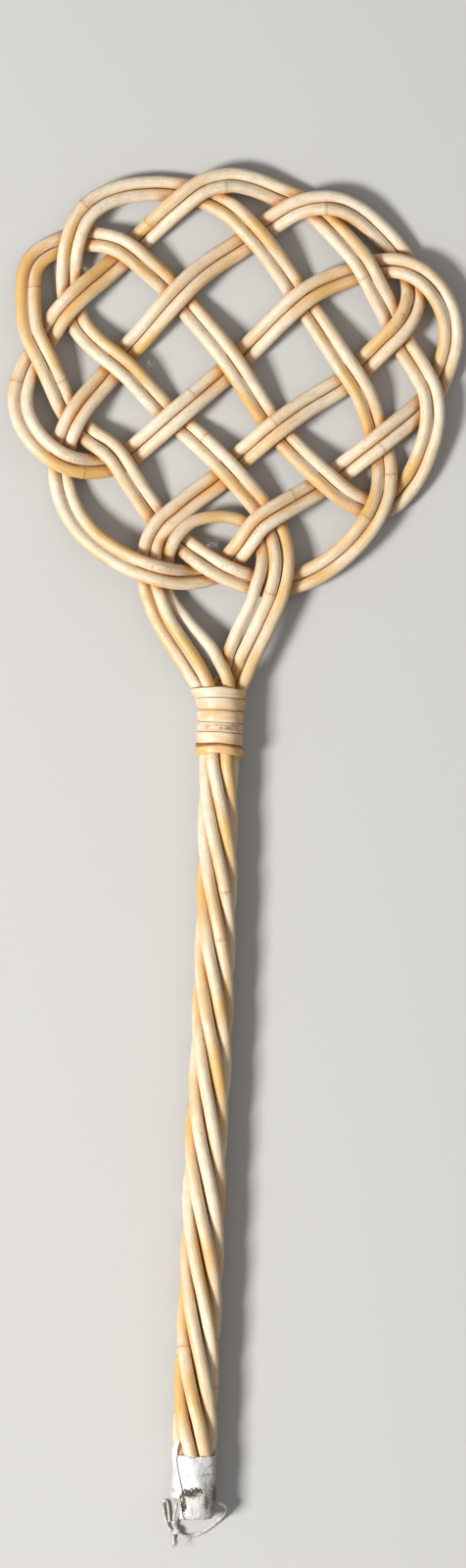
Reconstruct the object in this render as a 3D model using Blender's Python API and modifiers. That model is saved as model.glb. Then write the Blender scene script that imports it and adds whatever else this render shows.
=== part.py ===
"""Carpet beater of peeled rattan, lying on its back.

Two canes run side by side through one long knot and a third makes a small loop in its throat.
All six cane ends come down through the bound neck and are laid round a straight core as the
handle, whose butt is wrapped in adhesive tape and carries a string to hang it by.

Metres, +Z up. The handle runs along Y with the head towards +Y. Everything is worked out in a
frame whose origin is on the handle's axis at the top of the neck binding, and one empty then
brings the bottom centre of the whole to the world's origin.
"""
import math

import bmesh
import bpy
import numpy as np
from mathutils import Vector

MM = 0.001

# Driving dimensions
HEAD_WIDTH = 257 * MM
HANDLE_LENGTH = 469 * MM
CANE_DIAMETER = 7 * MM
CANE_BUTT_DIAMETER = 7.4 * MM
CANE_GAP = 0.4 * MM
SEAT_GAP = 0.3 * MM
STRIP_CLEARANCE = 0.55 * MM
LAY_PITCH = 208 * MM
LAY_START = 36 * MM
LAY_EASE = 12 * MM
BUTT_BULGE = 1 * MM
BULGE_SETBACK = 11 * MM

BINDING_LENGTH = 40 * MM
STRIP_THICKNESS = 1.6 * MM
STRIP_GAP = 0.5 * MM
STRIP_TURNS = 5.5
STRIP_LEVEL_SHARE = 0.9

CORE_SETBACK = 20 * MM
CORE_GAP = 0.35 * MM

TAPE_LENGTH = 34.5 * MM
TAPE_WALL = 0.7 * MM
TAPE_CORNER_RADIUS = 4 * MM
TEAR_REACH = 2.5 * MM
TEAR_CLEARANCE = 0.4 * MM
OVERRUN = 2 * MM

# String: its swing axis crosses the butt this far from the end
STRING_DIAMETER = 2 * MM
EXIT_SETBACK = 9.6 * MM
CANE_SETBACK = 1.6 * MM

# Lengths of the steps along each path
HEAD_STEP = 8.5 * MM
HANDLE_STEP = 15 * MM
CORE_STEP = 40 * MM
CORD_STEP = 3 * MM
ROUTE_STEP = 1.5 * MM
ROUTE_SMOOTHING = 2.6 * MM

# Where the neck eases from the two flat legs into the round bundle
NECK_OPEN = 6 * MM
NECK_CLOSED = 12 * MM
LEG_REACH = 45 * MM

# How far along its route a crossing says which cane lies on top
RULE_REACH = 45 * MM

# Photograph columns and rows that the plan of the weave was read from
HEAD_LEFT_PX = 8
HEAD_RIGHT_PX = 474
NECK_PX = (226.1, 701)
BUTT_PX = (199.3, 1500)

# Line between the two canes of the pair, from the right leg round the knot to the left leg
PAIR_ROUTE_PX = (
    (243, 705), (247, 690), (251.5, 674), (261, 655), (270.6, 634), (279.2, 615), (285.4, 596),
    (288, 576.5), (286.5, 558), (282.5, 543), (270.4, 522.4), (254.5, 503), (236, 482),
    (208, 453.5), (186.4, 433.5), (165.6, 415.5), (151, 400), (133.6, 381), (118, 367.5),
    (100.5, 353.5), (80, 330), (70.7, 299.5), (70.7, 269), (73, 252), (84, 222), (102, 204.5),
    (128, 194.5), (144, 192), (160, 191), (176, 192), (200, 196), (223, 206.5), (236, 215),
    (255.2, 234.4), (274.4, 256.5), (293.6, 283), (316.8, 317), (335.2, 345.5), (357, 379.5),
    (366.5, 393), (375.2, 411.5), (384.5, 440), (392, 469.6), (392, 498.4), (383.2, 524),
    (375.2, 536.8), (365.6, 549.6), (352.8, 562.4), (340, 573), (325.6, 582.5), (300, 593.5),
    (272, 596.5), (244.8, 590), (226.5, 582.3), (200, 565.6), (190.4, 557.6), (176, 544),
    (161.6, 528.8), (144, 505), (126.4, 477.6), (112, 458.4), (96, 448), (76, 428), (67.2, 415.2),
    (60.5, 400.5), (52, 381), (45.5, 366), (32.5, 340), (29.5, 322), (28.5, 304), (30, 276),
    (36.5, 263.5), (53, 252), (76, 245.5), (91.8, 243), (122.5, 250), (147, 269), (173, 292),
    (199, 322), (229.6, 359.5), (250.4, 390), (268, 417.5), (277.6, 430.5), (290.4, 447),
    (308, 466), (332, 488.5), (356, 508), (378, 517), (391, 516.5), (404, 509.5), (414, 498.5),
    (424.5, 484), (432, 467), (438, 449), (442, 431), (439.8, 400), (433, 385), (421, 364.5),
    (412, 350), (400, 324.5), (384.5, 295), (370.5, 269), (361, 256.5), (349, 243), (327.5, 219.5),
    (316, 210), (288.5, 198.5), (262, 188), (238, 183.2), (212, 188), (199, 195.5), (184, 207.5),
    (169, 220), (157.5, 230.5), (133, 254), (108, 277), (80, 301.5), (59.5, 323.5), (53, 335),
    (37, 359), (24, 385.5), (20.3, 411), (28, 435.5), (45, 457), (67, 471.5), (92, 476), (116, 472),
    (133.5, 463.5), (147, 452), (168, 434), (206.4, 400.5), (237, 373.5), (260.5, 350),
    (288.5, 322), (314, 300), (328.5, 291.5), (357, 280), (384, 272), (406, 271), (427.5, 279),
    (447.2, 298), (459.5, 325.5), (460.5, 351.5), (453, 378), (440, 404.5), (416.6, 427),
    (404.4, 437), (386, 452), (361.5, 470.5), (347.7, 481.5), (337, 490), (326.3, 496.5),
    (301.8, 511), (274.3, 527.5), (263.6, 535.5), (246.5, 559), (229, 577.5), (213, 585.5),
    (187, 589.5), (168, 587), (150, 582), (137, 577), (122, 569.5), (108, 560.5), (94, 549.5),
    (75.5, 527), (64, 499), (62, 469), (69, 441), (83, 415.5), (93, 403), (113, 379), (129.3, 359),
    (142.4, 345), (168.4, 315), (193, 289), (205.5, 277.5), (219, 267), (241, 253), (256, 242.5),
    (283, 223.5), (297.2, 215), (312.5, 209), (343, 207.5), (367.6, 218.5), (391, 238.5),
    (409, 259), (421.5, 284), (422.3, 306), (412.5, 330.5), (390.5, 353), (370.5, 373),
    (348.5, 392), (328, 404.5), (312.5, 414), (285, 434), (266.6, 449), (236, 476), (226.5, 487),
    (211.2, 498), (191.3, 513.2), (176, 526.5), (164, 537), (153.5, 560), (152, 586),
    (158.7, 614.8), (166.3, 632), (175.9, 649.2), (187.4, 666.4), (197, 681.7), (206.5, 699),
)

# Centre of the third cane, from the right leg round the throat to the left leg
LOOP_ROUTE_PX = (
    (226.5, 684), (233.3, 666.4), (244.8, 637.7), (256.5, 614.8), (262, 595.7), (268, 576.5),
    (267.5, 561), (263, 547), (247.5, 531.5), (236, 527.8), (221.8, 527), (206.5, 529),
    (193, 534.5), (177.5, 552.5), (173, 561.5), (171.5, 572), (170.5, 588), (172, 603.3),
    (179.7, 622.4), (191.2, 637.7), (206.5, 655), (217.5, 670.3), (227.5, 683.7), (236.5, 699),
)

# Middle of the handle, which wanders a little off a straight line
HANDLE_AXIS_PX = (
    (226.1, 701), (225, 735), (222.6, 824), (221.6, 900), (215, 1085), (210.6, 1160),
    (206.4, 1280), (200.4, 1414), (199, 1467), (198.8, 1500), (197.4, 1560),
)

# Turn about the handle's axis of each cane end where it enters the binding, from the right side
LEG_TURN_SHARES = {
    "left_outer": 180 / 360, "left_middle": 120 / 360, "left_inner": 60 / 360,
    "right_outer": 0 / 360, "right_middle": -60 / 360, "right_inner": -120 / 360,
}

# Section of the binding strip: shares of its width and of its thickness
STRIP_SECTION_SHARES = (
    (-0.5, 0.0), (0.5, 0.0), (0.5, 0.55), (0.3, 1.0), (-0.3, 1.0), (-0.5, 0.55),
)

# Route of the string from its right exit round to its left one, from the middle of its axis
CORD_ROUTE = np.array((
    (13.25, 0, 0), (15, 0, -0.2), (16.9, -0.7, -1.4), (18.1, -2.2, -3.6), (18.2, -4.4, -6.4),
    (17.2, -7, -9.2), (14.6, -10.4, -11.4), (11, -13.6, -12.1), (6.8, -16.8, -12.1),
    (2.4, -19, -12), (-2, -20, -11.5), (-5.8, -19.6, -10.8), (-8.6, -17.6, -10.5),
    (-10.2, -14.8, -10.6), (-10.6, -11.6, -10.2), (-10.4, -8.6, -8.2), (-10.1, -6, -5.6),
    (-9.8, -3.6, -3), (-9.6, -1.6, -1.1), (-9.6, 0, 0),
)) * MM
CORD_LEFT = CORD_ROUTE[-1][0]
EAR_ROUTE = np.array((
    (-12.4, -17.6, -11.2), (-14.4, -13.6, -11.9), (-15.9, -8.8, -12), (-16.9, -4, -12),
    (-16.8, -1.2, -12), (-15.6, -0.3, -12), (-14.5, -1.6, -12), (-13.9, -5, -12),
    (-13.5, -8.6, -12), (-13.1, -12.2, -12),
)) * MM
EAR_DIAMETER = 1.6 * MM
TAIL_ROUTE = np.array((
    (-10.4, -19.45, -11.4), (-10.5, -21.4, -12.1), (-10.3, -23.4, -12.3), (-10.2, -25.2, -12.3),
)) * MM
TAIL_DIAMETER = 1.5 * MM
KNOT_PLACE = np.array((-9.2, -17, -10.5)) * MM
KNOT_DIAMETER = 5.2 * MM
KNOT_LENGTH = 3.6 * MM
KNOT_CLEARANCE = 0.55 * MM
KNOT_STEPS = 8

TUBE_RESOLUTION = 2
TURNED_SIDES = 24
SHARP_ANGLE = math.radians(40)
WELD_DISTANCE = 0.01 * MM
FACING_SHARE = 0.2
STRIP_STEPS_PER_TURN = 24
HULL_DIRECTIONS = 96
RELAX_STEPS = 900
SETTLE_STEPS = 300
BEND_SHARE = 0.05
PULL_SHARE = 0.05
OVER_SHARE = 1.4
LEAST_LEAN_SHARE = 0.35

MATERIALS = {
    "peeled_rattan": ((0.80, 0.62, 0.38), 0.45),
    "core_rattan": ((0.66, 0.47, 0.26), 0.6),
    "binding_cane": ((0.78, 0.58, 0.30), 0.4),
    "adhesive_tape": ((0.86, 0.85, 0.82), 0.7),
    "cotton_string": ((0.85, 0.84, 0.80), 0.9),
}

PIXEL = HEAD_WIDTH / (HEAD_RIGHT_PX - HEAD_LEFT_PX)
TILT = math.atan2(NECK_PX[0] - BUTT_PX[0], BUTT_PX[1] - NECK_PX[1])
LAY_SPACING = CANE_DIAMETER + CANE_GAP


# Plan of the weave

def to_plan(points_px):
    """Photograph points as X and Y in the handle's frame."""
    offset = np.asarray(points_px, float) - np.asarray(NECK_PX, float)
    across = offset[:, 0] * math.cos(TILT) + offset[:, 1] * math.sin(TILT)
    along = offset[:, 0] * math.sin(TILT) - offset[:, 1] * math.cos(TILT)
    return np.column_stack((across, along)) * PIXEL


def catmull_rom(points, steps=10):
    """Centripetal Catmull-Rom curve through every point."""
    padded = np.vstack((2 * points[0] - points[1], points, 2 * points[-1] - points[-2]))
    curve = []
    for index in range(1, len(padded) - 2):
        before, start, end, after = padded[index - 1:index + 3]
        knots = np.cumsum([0] + [math.sqrt(math.dist(a, b)) for a, b in (
            (before, start), (start, end), (end, after))])
        for at in np.linspace(knots[1], knots[2], steps, endpoint=False):
            first = blend(before, start, knots[0], knots[1], at)
            second = blend(start, end, knots[1], knots[2], at)
            third = blend(end, after, knots[2], knots[3], at)
            left = blend(first, second, knots[0], knots[2], at)
            right = blend(second, third, knots[1], knots[3], at)
            curve.append(blend(left, right, knots[1], knots[2], at))
    curve.append(points[-1])
    return np.array(curve)


def blend(a, b, start, end, at):
    share = (at - start) / (end - start)
    return a * (1 - share) + b * share


def lengths_along(points):
    return np.concatenate(([0], np.cumsum(np.linalg.norm(np.diff(points, axis=0), axis=1))))


def resample(points, step):
    """Evenly spaced points on a polyline, near one step apart."""
    along = lengths_along(points)
    count = max(2, round(along[-1] / step) + 1)
    wanted = np.linspace(0, along[-1], count)
    return np.column_stack([np.interp(wanted, along, column) for column in points.T])


def smooth_route(points_px):
    """Smooth plan curve through hand-read points, evenly spaced at ROUTE_STEP."""
    dense = resample(catmull_rom(to_plan(points_px)), ROUTE_STEP)
    reach = int(3 * ROUTE_SMOOTHING / ROUTE_STEP)
    offsets = np.arange(-reach, reach + 1) * ROUTE_STEP / ROUTE_SMOOTHING
    kernel = np.exp(-offsets ** 2 / 2)
    kernel /= kernel.sum()
    head = 2 * dense[0] - dense[reach:0:-1]
    tail = 2 * dense[-1] - dense[-2:-reach - 2:-1]
    padded = np.vstack((head, dense, tail))
    return np.column_stack([np.convolve(column, kernel, "valid") for column in padded.T])


def offset_route(route, distance):
    """The same route, moved sideways to its left by a distance."""
    tangent = np.gradient(route, axis=0)
    tangent /= np.linalg.norm(tangent, axis=1)[:, None]
    return route + distance * np.column_stack((-tangent[:, 1], tangent[:, 0]))


# Handle

def ease(value):
    """Smooth step from 0 to 1."""
    share = np.clip(value, 0, 1)
    return share * share * (3 - 2 * share)


def lay_radius(spacing):
    """Radius at which six canes laid at LAY_PITCH stand this far apart, mid step."""
    radius = spacing
    for _ in range(8):
        radius = spacing * math.hypot(1, 2 * math.pi * radius / LAY_PITCH)
    return radius / math.cos(math.pi * HANDLE_STEP / LAY_PITCH)


NECK_RING = lay_radius(LAY_SPACING)
BUTT_RING = lay_radius(CANE_BUTT_DIAMETER + CANE_GAP)
TAPE_BORE = BUTT_RING + CANE_BUTT_DIAMETER / 2 + SEAT_GAP
TAPE_RADIUS = TAPE_BORE + TAPE_WALL
BINDING_RADIUS = NECK_RING + CANE_DIAMETER / 2 + STRIP_CLEARANCE + STRIP_THICKNESS
FLOOR = -max(TAPE_RADIUS, BINDING_RADIUS)
CORD_EXIT = -(HANDLE_LENGTH - EXIT_SETBACK)
CANE_END = CORD_EXIT + CANE_SETBACK
TAPE_TOP = -(HANDLE_LENGTH - TAPE_LENGTH)


def handle_axis(along):
    """Sideways place of the handle's middle at each Y, straight inside the tape."""
    axis = catmull_rom(to_plan(HANDLE_AXIS_PX))[::-1]
    return np.interp(np.maximum(along, TAPE_TOP), axis[:, 1], axis[:, 0])


def cane_radius(along):
    """Radius of a cane at each Y, thicker towards the butt."""
    share = np.clip(-np.asarray(along) / HANDLE_LENGTH, 0, 1)
    return (CANE_DIAMETER + share * (CANE_BUTT_DIAMETER - CANE_DIAMETER)) / 2


def ring_radius(along):
    """Radius of the ring of six canes at each Y, with the loose bulge above the tape."""
    along = np.asarray(along, float)
    share = np.clip(-along / HANDLE_LENGTH, 0, 1)
    ring = NECK_RING + share * (BUTT_RING - NECK_RING)
    rise = ease((-along - LAY_START) / (HANDLE_LENGTH - TAPE_LENGTH - LAY_START))
    fall = 1 - ease((TAPE_TOP + BULGE_SETBACK - along) / BULGE_SETBACK)
    return ring + BUTT_BULGE * rise * fall


def lay_turn(along):
    """Turn of the laid canes at each Y, in radians, zero in the binding."""
    run = np.maximum(-np.asarray(along, float) - LAY_START, 0)
    eased = np.where(run < LAY_EASE, run ** 2 / (2 * LAY_EASE), run - LAY_EASE / 2)
    return -2 * math.pi * eased / LAY_PITCH


def ring_point(leg, along):
    """Centres of one cane end in the laid handle at each Y."""
    along = np.asarray(along, float)
    angle = 2 * math.pi * LEG_TURN_SHARES[leg] + lay_turn(along)
    ring = ring_radius(along)
    return np.column_stack((handle_axis(along) + ring * np.cos(angle), along, ring * np.sin(angle)))


def cane_end(leg, leg_point, leg_slope):
    """Points of one cane end from the butt up to its leg, ending just short of leg_point."""
    handle = np.arange(-NECK_CLOSED, CANE_END, -HANDLE_STEP)
    if handle[-1] - CANE_END < HANDLE_STEP / 2:
        handle = handle[:-1]
    handle = np.append(handle, CANE_END)[::-1]
    laid = ring_point(leg, handle)
    join = laid[-1]
    count = max(3, round((leg_point[1] - join[1]) / HEAD_STEP))
    neck = []
    for share in np.arange(1, count) / count:
        rise = leg_point[1] - join[1]
        cubic = share ** 2 * (3 - 2 * share)
        slope = share ** 2 * (share - 1)
        across = join[0] + (leg_point[0] - join[0]) * cubic + leg_slope * rise * slope
        neck.append((across, join[1] + rise * share, join[2]))
    return np.vstack((laid, neck))


HEAD_LOW = FLOOR + CANE_DIAMETER / 2
HEAD_MIDDLE = HEAD_LOW + LAY_SPACING / 2


def cane_path(route, side, legs):
    """One whole cane: butt, neck, leg, knot, leg, neck and butt, off to one side of its route.

    Gives its points and the distance along the route of each, which is NaN in the handle.
    """
    inside = np.flatnonzero(route[:, 1] > NECK_OPEN)
    knot = resample(route[inside[0]:inside[-1] + 1], HEAD_STEP)
    along = lengths_along(route)
    stations = np.linspace(along[inside[0]], along[inside[-1]], len(knot))
    knot = offset_route(knot, side)
    knot = np.column_stack((knot, np.full(len(knot), HEAD_MIDDLE)))
    ends = []
    half = len(knot) // 2
    for leg, part in ((legs[0], slice(0, half)), (legs[1], slice(half, None))):
        rise = ease((LEG_REACH - knot[part, 1]) / LEG_REACH)
        knot[part, 2] += (ring_point(leg, knot[part, 1])[:, 2] - HEAD_MIDDLE) * rise
    for leg, first, second in ((legs[0], 0, 1), (legs[1], -1, -2)):
        slope = (knot[second] - knot[first])[0] / (knot[second] - knot[first])[1]
        ends.append(cane_end(leg, knot[first], slope))
    points = np.vstack((ends[0], knot, ends[1][::-1]))
    place = np.concatenate((np.full(len(ends[0]), np.nan), stations, np.full(len(ends[1]), np.nan)))
    return points, place


# Over and under

def crossings(first, second, same):
    """Plan crossings of two polylines as (segment on first, segment on second)."""
    p, r = first[:-1, :2], np.diff(first[:, :2], axis=0)
    q, s = second[:-1, :2], np.diff(second[:, :2], axis=0)
    cross = r[:, None, 0] * s[None, :, 1] - r[:, None, 1] * s[None, :, 0]
    gap = q[None, :, :] - p[:, None, :]
    with np.errstate(divide="ignore", invalid="ignore"):
        t = (gap[..., 0] * s[None, :, 1] - gap[..., 1] * s[None, :, 0]) / cross
        u = (gap[..., 0] * r[:, None, 1] - gap[..., 1] * r[:, None, 0]) / cross
    hit = (t >= 0) & (t < 1) & (u >= 0) & (u < 1) & (np.abs(cross) > 0)
    rows, columns = np.nonzero(hit)
    if same:
        keep = columns > rows + 2
        rows, columns = rows[keep], columns[keep]
    return list(zip(rows.tolist(), columns.tolist()))


def closest_points(a, b, c, d):
    """Shares along the segments ab and cd of their nearest points."""
    u, v, w = b - a, d - c, a - c
    uu, uv, vv = (u * u).sum(1), (u * v).sum(1), (v * v).sum(1)
    uw, vw = (u * w).sum(1), (v * w).sum(1)
    span = np.maximum(uu * vv - uv * uv, np.finfo(float).tiny)
    s = np.clip((uv * vw - vv * uw) / span, 0, 1)
    t = np.clip((uv * s + vw) / vv, 0, 1)
    s = np.clip((uv * t - uw) / uu, 0, 1)
    return s, t


def crossing_rules(pair, loop):
    """Crossings as (route, place, route, place, sign); sign is +1 where the first lies on top.

    Along each route the crossings go over and under in turn, the first of them over.
    """
    rules = []
    pair_length, loop_length = lengths_along(pair)[-1], lengths_along(loop)[-1]
    own = crossings(pair, pair, same=True)
    visits = sorted({place for crossing in own for place in crossing})
    for first, second in own:
        sign = 1 if visits.index(first) % 2 == 0 else -1
        rules.append(("pair", first / (len(pair) - 1) * pair_length,
                      "pair", second / (len(pair) - 1) * pair_length, sign))
    shared = sorted(crossings(loop, pair, same=False))
    for order, (first, second) in enumerate(shared):
        sign = 1 if order % 2 == 0 else -1
        rules.append(("loop", first / (len(loop) - 1) * loop_length,
                      "pair", second / (len(pair) - 1) * pair_length, sign))
    return rules


class Bundle:
    """All the canes as one set of points, with the segments that might touch."""

    def __init__(self, canes):
        self.names = [cane["name"] for cane in canes]
        self.points = np.vstack([cane["points"] for cane in canes])
        self.place = np.concatenate([cane["place"] for cane in canes])
        self.radius = cane_radius(self.points[:, 1])
        sizes = [len(cane["points"]) for cane in canes]
        self.starts = np.concatenate(([0], np.cumsum(sizes)))
        self.cane = np.repeat(np.arange(len(canes)), sizes)
        self.route = np.array([cane["route"] for cane in canes])[self.cane]
        inner = np.arange(len(self.points) - 1)
        self.segments = inner[self.cane[inner] == self.cane[inner + 1]]
        along = self.points[:, 1]
        self.lifts = (along > -NECK_CLOSED + SEAT_GAP).astype(float)
        self.shifts = self.lifts * (along < LEG_REACH)

    def near_pairs(self, reach):
        """Pairs of segments whose plans come within reach of touching."""
        starts = self.segments
        middle = (self.points[starts] + self.points[starts + 1]) / 2
        half = np.linalg.norm(self.points[starts + 1] - self.points[starts], axis=1) / 2
        apart = np.hypot(middle[:, None, 0] - middle[None, :, 0],
                         middle[:, None, 1] - middle[None, :, 1])
        limit = half[:, None] + half[None, :] + CANE_BUTT_DIAMETER + reach
        rows, columns = np.nonzero(np.triu(apart < limit, 1))
        first, second = starts[rows], starts[columns]
        same = self.cane[first] == self.cane[second]
        keep = ~(same & (np.abs(first - second) < 4))
        return first[keep], second[keep]

    def gaps(self, first, second):
        """Vector between the nearest points of segment pairs, their shares, and the gap."""
        a, b = self.points[first], self.points[first + 1]
        c, d = self.points[second], self.points[second + 1]
        s, t = closest_points(a, b, c, d)
        apart = (a + (b - a) * s[:, None]) - (c + (d - c) * t[:, None])
        room = self.radius[first] + self.radius[second]
        return apart, s, t, np.linalg.norm(apart, axis=1) - room

    def signs(self, first, second, rules):
        """+1 or -1 where a rule says which segment lies on top, else 0."""
        place_a = (self.place[first] + self.place[first + 1]) / 2
        place_b = (self.place[second] + self.place[second + 1]) / 2
        best = np.full(len(first), RULE_REACH)
        sign = np.zeros(len(first))
        for route_a, at_a, route_b, at_b, value in rules:
            for swap in (1, -1):
                fits = (self.route[first] == route_a) & (self.route[second] == route_b)
                off = np.abs(place_a - at_a) + np.abs(place_b - at_b)
                closer = fits & (off < best)
                best[closer] = off[closer]
                sign[closer] = value * swap
                route_a, at_a, route_b, at_b = route_b, at_b, route_a, at_a
        return sign

    def bend(self, share, pull):
        """Takes a little of the bending out of every cane that is free to move."""
        for start, end in zip(self.starts[:-1], self.starts[1:]):
            part = self.points[start:end]
            curl = np.zeros_like(part)
            curl[1:-1] = part[:-2] - 2 * part[1:-1] + part[2:]
            force = np.zeros_like(part)
            force[1:-1] = curl[:-2] - 2 * curl[1:-1] + curl[2:]
            part[:, 2] += (pull * curl[:, 2] - share * force[:, 2]) * self.lifts[start:end]
            neck = self.shifts[start:end] * (part[:, 1] < NECK_OPEN)
            part[:, 0] -= share * force[:, 0] * neck

    def separate(self, first, second, sign):
        """Moves touching segments apart by their shortfall, over and under by the rule."""
        apart, s, t, gap = self.gaps(first, second)
        need = self.radius[first] + self.radius[second] + CANE_GAP
        ruled = sign != 0
        planar = np.hypot(apart[:, 0], apart[:, 1])
        lift = np.sqrt(np.maximum(need ** 2 - planar ** 2, 0))
        short = np.where(ruled, lift - sign * apart[:, 2], CANE_GAP - gap)
        active = (short > 0) & (planar < need)
        first, second, s, t = first[active], second[active], s[active], t[active]
        short, ruled, sign, apart = short[active], ruled[active], sign[active], apart[active]
        away = apart / np.maximum(np.linalg.norm(apart, axis=1), np.finfo(float).tiny)[:, None]
        move = np.zeros_like(apart)
        move[:, 2] = np.where(ruled, sign, away[:, 2])
        free = self.shifts[first] * self.shifts[second]
        move[:, 0] = np.where(ruled, 0, away[:, 0] * free)
        size = np.maximum((move ** 2).sum(1), LEAST_LEAN_SHARE ** 2)
        move *= (short / size)[:, None]
        ends = np.concatenate((first, first + 1, second, second + 1))
        weight = np.concatenate((1 - s, s, t - 1, -t))
        freedom = self.lifts[ends]
        total = (weight ** 2 * freedom).reshape(4, -1).sum(0)
        weight = weight * freedom / np.tile(np.maximum(total, LEAST_LEAN_SHARE ** 2), 4)
        change = np.zeros_like(self.points)
        count = np.zeros(len(self.points))
        np.add.at(change, ends, np.tile(move, (4, 1)) * weight[:, None])
        np.add.at(count, ends, freedom)
        self.points += change / np.maximum(count, 1)[:, None] * OVER_SHARE
        low = FLOOR + self.radius
        self.points[:, 2] = np.where(self.lifts > 0, np.maximum(self.points[:, 2], low),
                                     self.points[:, 2])

    def settle(self, rules):
        """Finds the heights that pass every cane over and under the others."""
        first, second = self.near_pairs(CANE_DIAMETER)
        ends = (first, first + 1, second, second + 1)
        moving = sum(self.lifts[end] for end in ends)
        first, second = first[moving > 0], second[moving > 0]
        beside = ((self.route[first] == self.route[second])
                  & (np.abs(self.place[first] - self.place[second]) < RULE_REACH / 2)
                  & (self.shifts[first] * self.shifts[second] == 0))
        first, second = first[~beside], second[~beside]
        sign = self.signs(first, second, rules)
        for step in range(RELAX_STEPS + SETTLE_STEPS):
            if step < RELAX_STEPS:
                self.bend(BEND_SHARE, PULL_SHARE)
            self.separate(first, second, sign)

    def path(self, index):
        start, end = self.starts[index], self.starts[index + 1]
        return self.points[start:end], self.radius[start:end]

    def least_gap(self):
        first, second = self.near_pairs(CANE_DIAMETER)
        return self.gaps(first, second)[3].min()


def lay_canes():
    """Routes and settles the three canes."""
    pair, loop = smooth_route(PAIR_ROUTE_PX), smooth_route(LOOP_ROUTE_PX)
    half = LAY_SPACING / 2
    plan = (
        ("outer_cane", "pair", pair, -half, ("right_outer", "left_outer")),
        ("middle_cane", "pair", pair, half, ("right_middle", "left_middle")),
        ("loop_cane", "loop", loop, 0, ("right_inner", "left_inner")),
    )
    canes = []
    for name, route_name, route, side, legs in plan:
        points, place = cane_path(route, side, legs)
        canes.append({"name": name, "route": route_name, "points": points, "place": place})
    bundle = Bundle(canes)
    rules = crossing_rules(pair, loop)
    bundle.settle(rules)
    print("crossings", len(rules), "least gap between canes, mm",
          round(bundle.least_gap() / MM, 3))
    return bundle


# Pieces

def make_material(name):
    colour, roughness = MATERIALS[name]
    material = bpy.data.materials.new(name)
    material.use_nodes = True
    shader = material.node_tree.nodes["Principled BSDF"]
    shader.inputs["Base Color"].default_value = (*colour, 1)
    shader.inputs["Roughness"].default_value = roughness
    return material


def add_object(name, data, collection, parent, material):
    piece = bpy.data.objects.new(name, data)
    collection.objects.link(piece)
    piece.parent = parent
    if material is not None:
        data.materials.append(material)
    return piece


def add_tube(name, points, radii, collection, parent, material, resolution=TUBE_RESOLUTION):
    """A capped round tube along points, with the radius of each."""
    curve = bpy.data.curves.new(name, "CURVE")
    curve.dimensions = "3D"
    curve.bevel_depth = 1
    curve.bevel_resolution = resolution
    curve.use_fill_caps = True
    spline = curve.splines.new("POLY")
    spline.points.add(len(points) - 1)
    for place, point, radius in zip(spline.points, points, radii):
        place.co = (*point, 1)
        place.radius = radius
    return add_object(name, curve, collection, parent, material)


def add_loft(name, rings, collection, parent, material):
    """A closed solid through rings of points, flat at both ends."""
    mesh = bpy.data.meshes.new(name)
    sketch = bmesh.new()
    loops = [[sketch.verts.new(point) for point in ring] for ring in rings]
    for near, far in zip(loops, loops[1:]):
        for index in range(len(near)):
            after = (index + 1) % len(near)
            sketch.faces.new((near[index], near[after], far[after], far[index]))
    sketch.faces.new(loops[0])
    sketch.faces.new(loops[-1])
    bmesh.ops.recalc_face_normals(sketch, faces=sketch.faces)
    sketch.to_mesh(mesh)
    sketch.free()
    mesh.shade_smooth()
    mesh.set_sharp_from_angle(angle=SHARP_ANGLE)
    return add_object(name, mesh, collection, parent, material)


def add_turned(name, profile, collection, parent, material):
    """A turned solid from (radius, height) points that run down its outer side."""
    mesh = bpy.data.meshes.new(name)
    edges = [(index, index + 1) for index in range(len(profile) - 1)]
    mesh.from_pydata([(radius, 0, height) for radius, height in profile], edges, [])
    piece = add_object(name, mesh, collection, parent, material)
    screw = piece.modifiers.new("Turn", "SCREW")
    screw.steps = TURNED_SIDES
    screw.render_steps = TURNED_SIDES
    screw.use_merge_vertices = True
    screw.merge_threshold = WELD_DISTANCE
    return piece


def arc(middle, radius, start, end, steps=4):
    """Points of an arc, with its angles given in quarter turns."""
    angles = np.linspace(start, end, steps + 1) * math.pi / 2
    return [(middle[0] + radius * math.cos(a), middle[1] + radius * math.sin(a)) for a in angles]


def cane_ends(bundle):
    """The six stretches of cane in the neck and binding, each rising along Y."""
    ends = []
    for index in range(len(bundle.names)):
        points, radius = bundle.path(index)
        inside = points[:, 1] < LEG_REACH
        first = int(np.argmin(inside))
        last = len(points) - int(np.argmin(inside[::-1]))
        ends.append((points[:first], radius[:first]))
        ends.append((points[last:][::-1], radius[last:][::-1]))
    return ends


def wrap_radius(ends, along, angle):
    """Distance from the handle's axis to a taut wrap round the six canes at one Y."""
    directions = np.linspace(0, 2 * math.pi, HULL_DIRECTIONS, endpoint=False)
    middle = handle_axis(along)
    support = np.zeros(len(directions))
    for points, radius in ends:
        x = np.interp(along, points[:, 1], points[:, 0]) - middle
        z = np.interp(along, points[:, 1], points[:, 2])
        r = np.interp(along, points[:, 1], radius)
        index = int(np.clip(np.searchsorted(points[:, 1], along), 1, len(points) - 1))
        run = points[index] - points[index - 1]
        lean = np.linalg.norm(run) / run[1]
        reach = x * np.cos(directions) + z * np.sin(directions) + r * lean
        support = np.maximum(support, reach)
    facing = np.cos(directions - angle)
    front = facing > FACING_SHARE
    return float((support[front] / facing[front]).min())


def level_shift(turn):
    """How much less a turn has dropped than on an even helix, in turns."""
    return STRIP_LEVEL_SHARE * (1 - math.cos(2 * math.pi * turn)) / (2 * math.pi)


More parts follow.
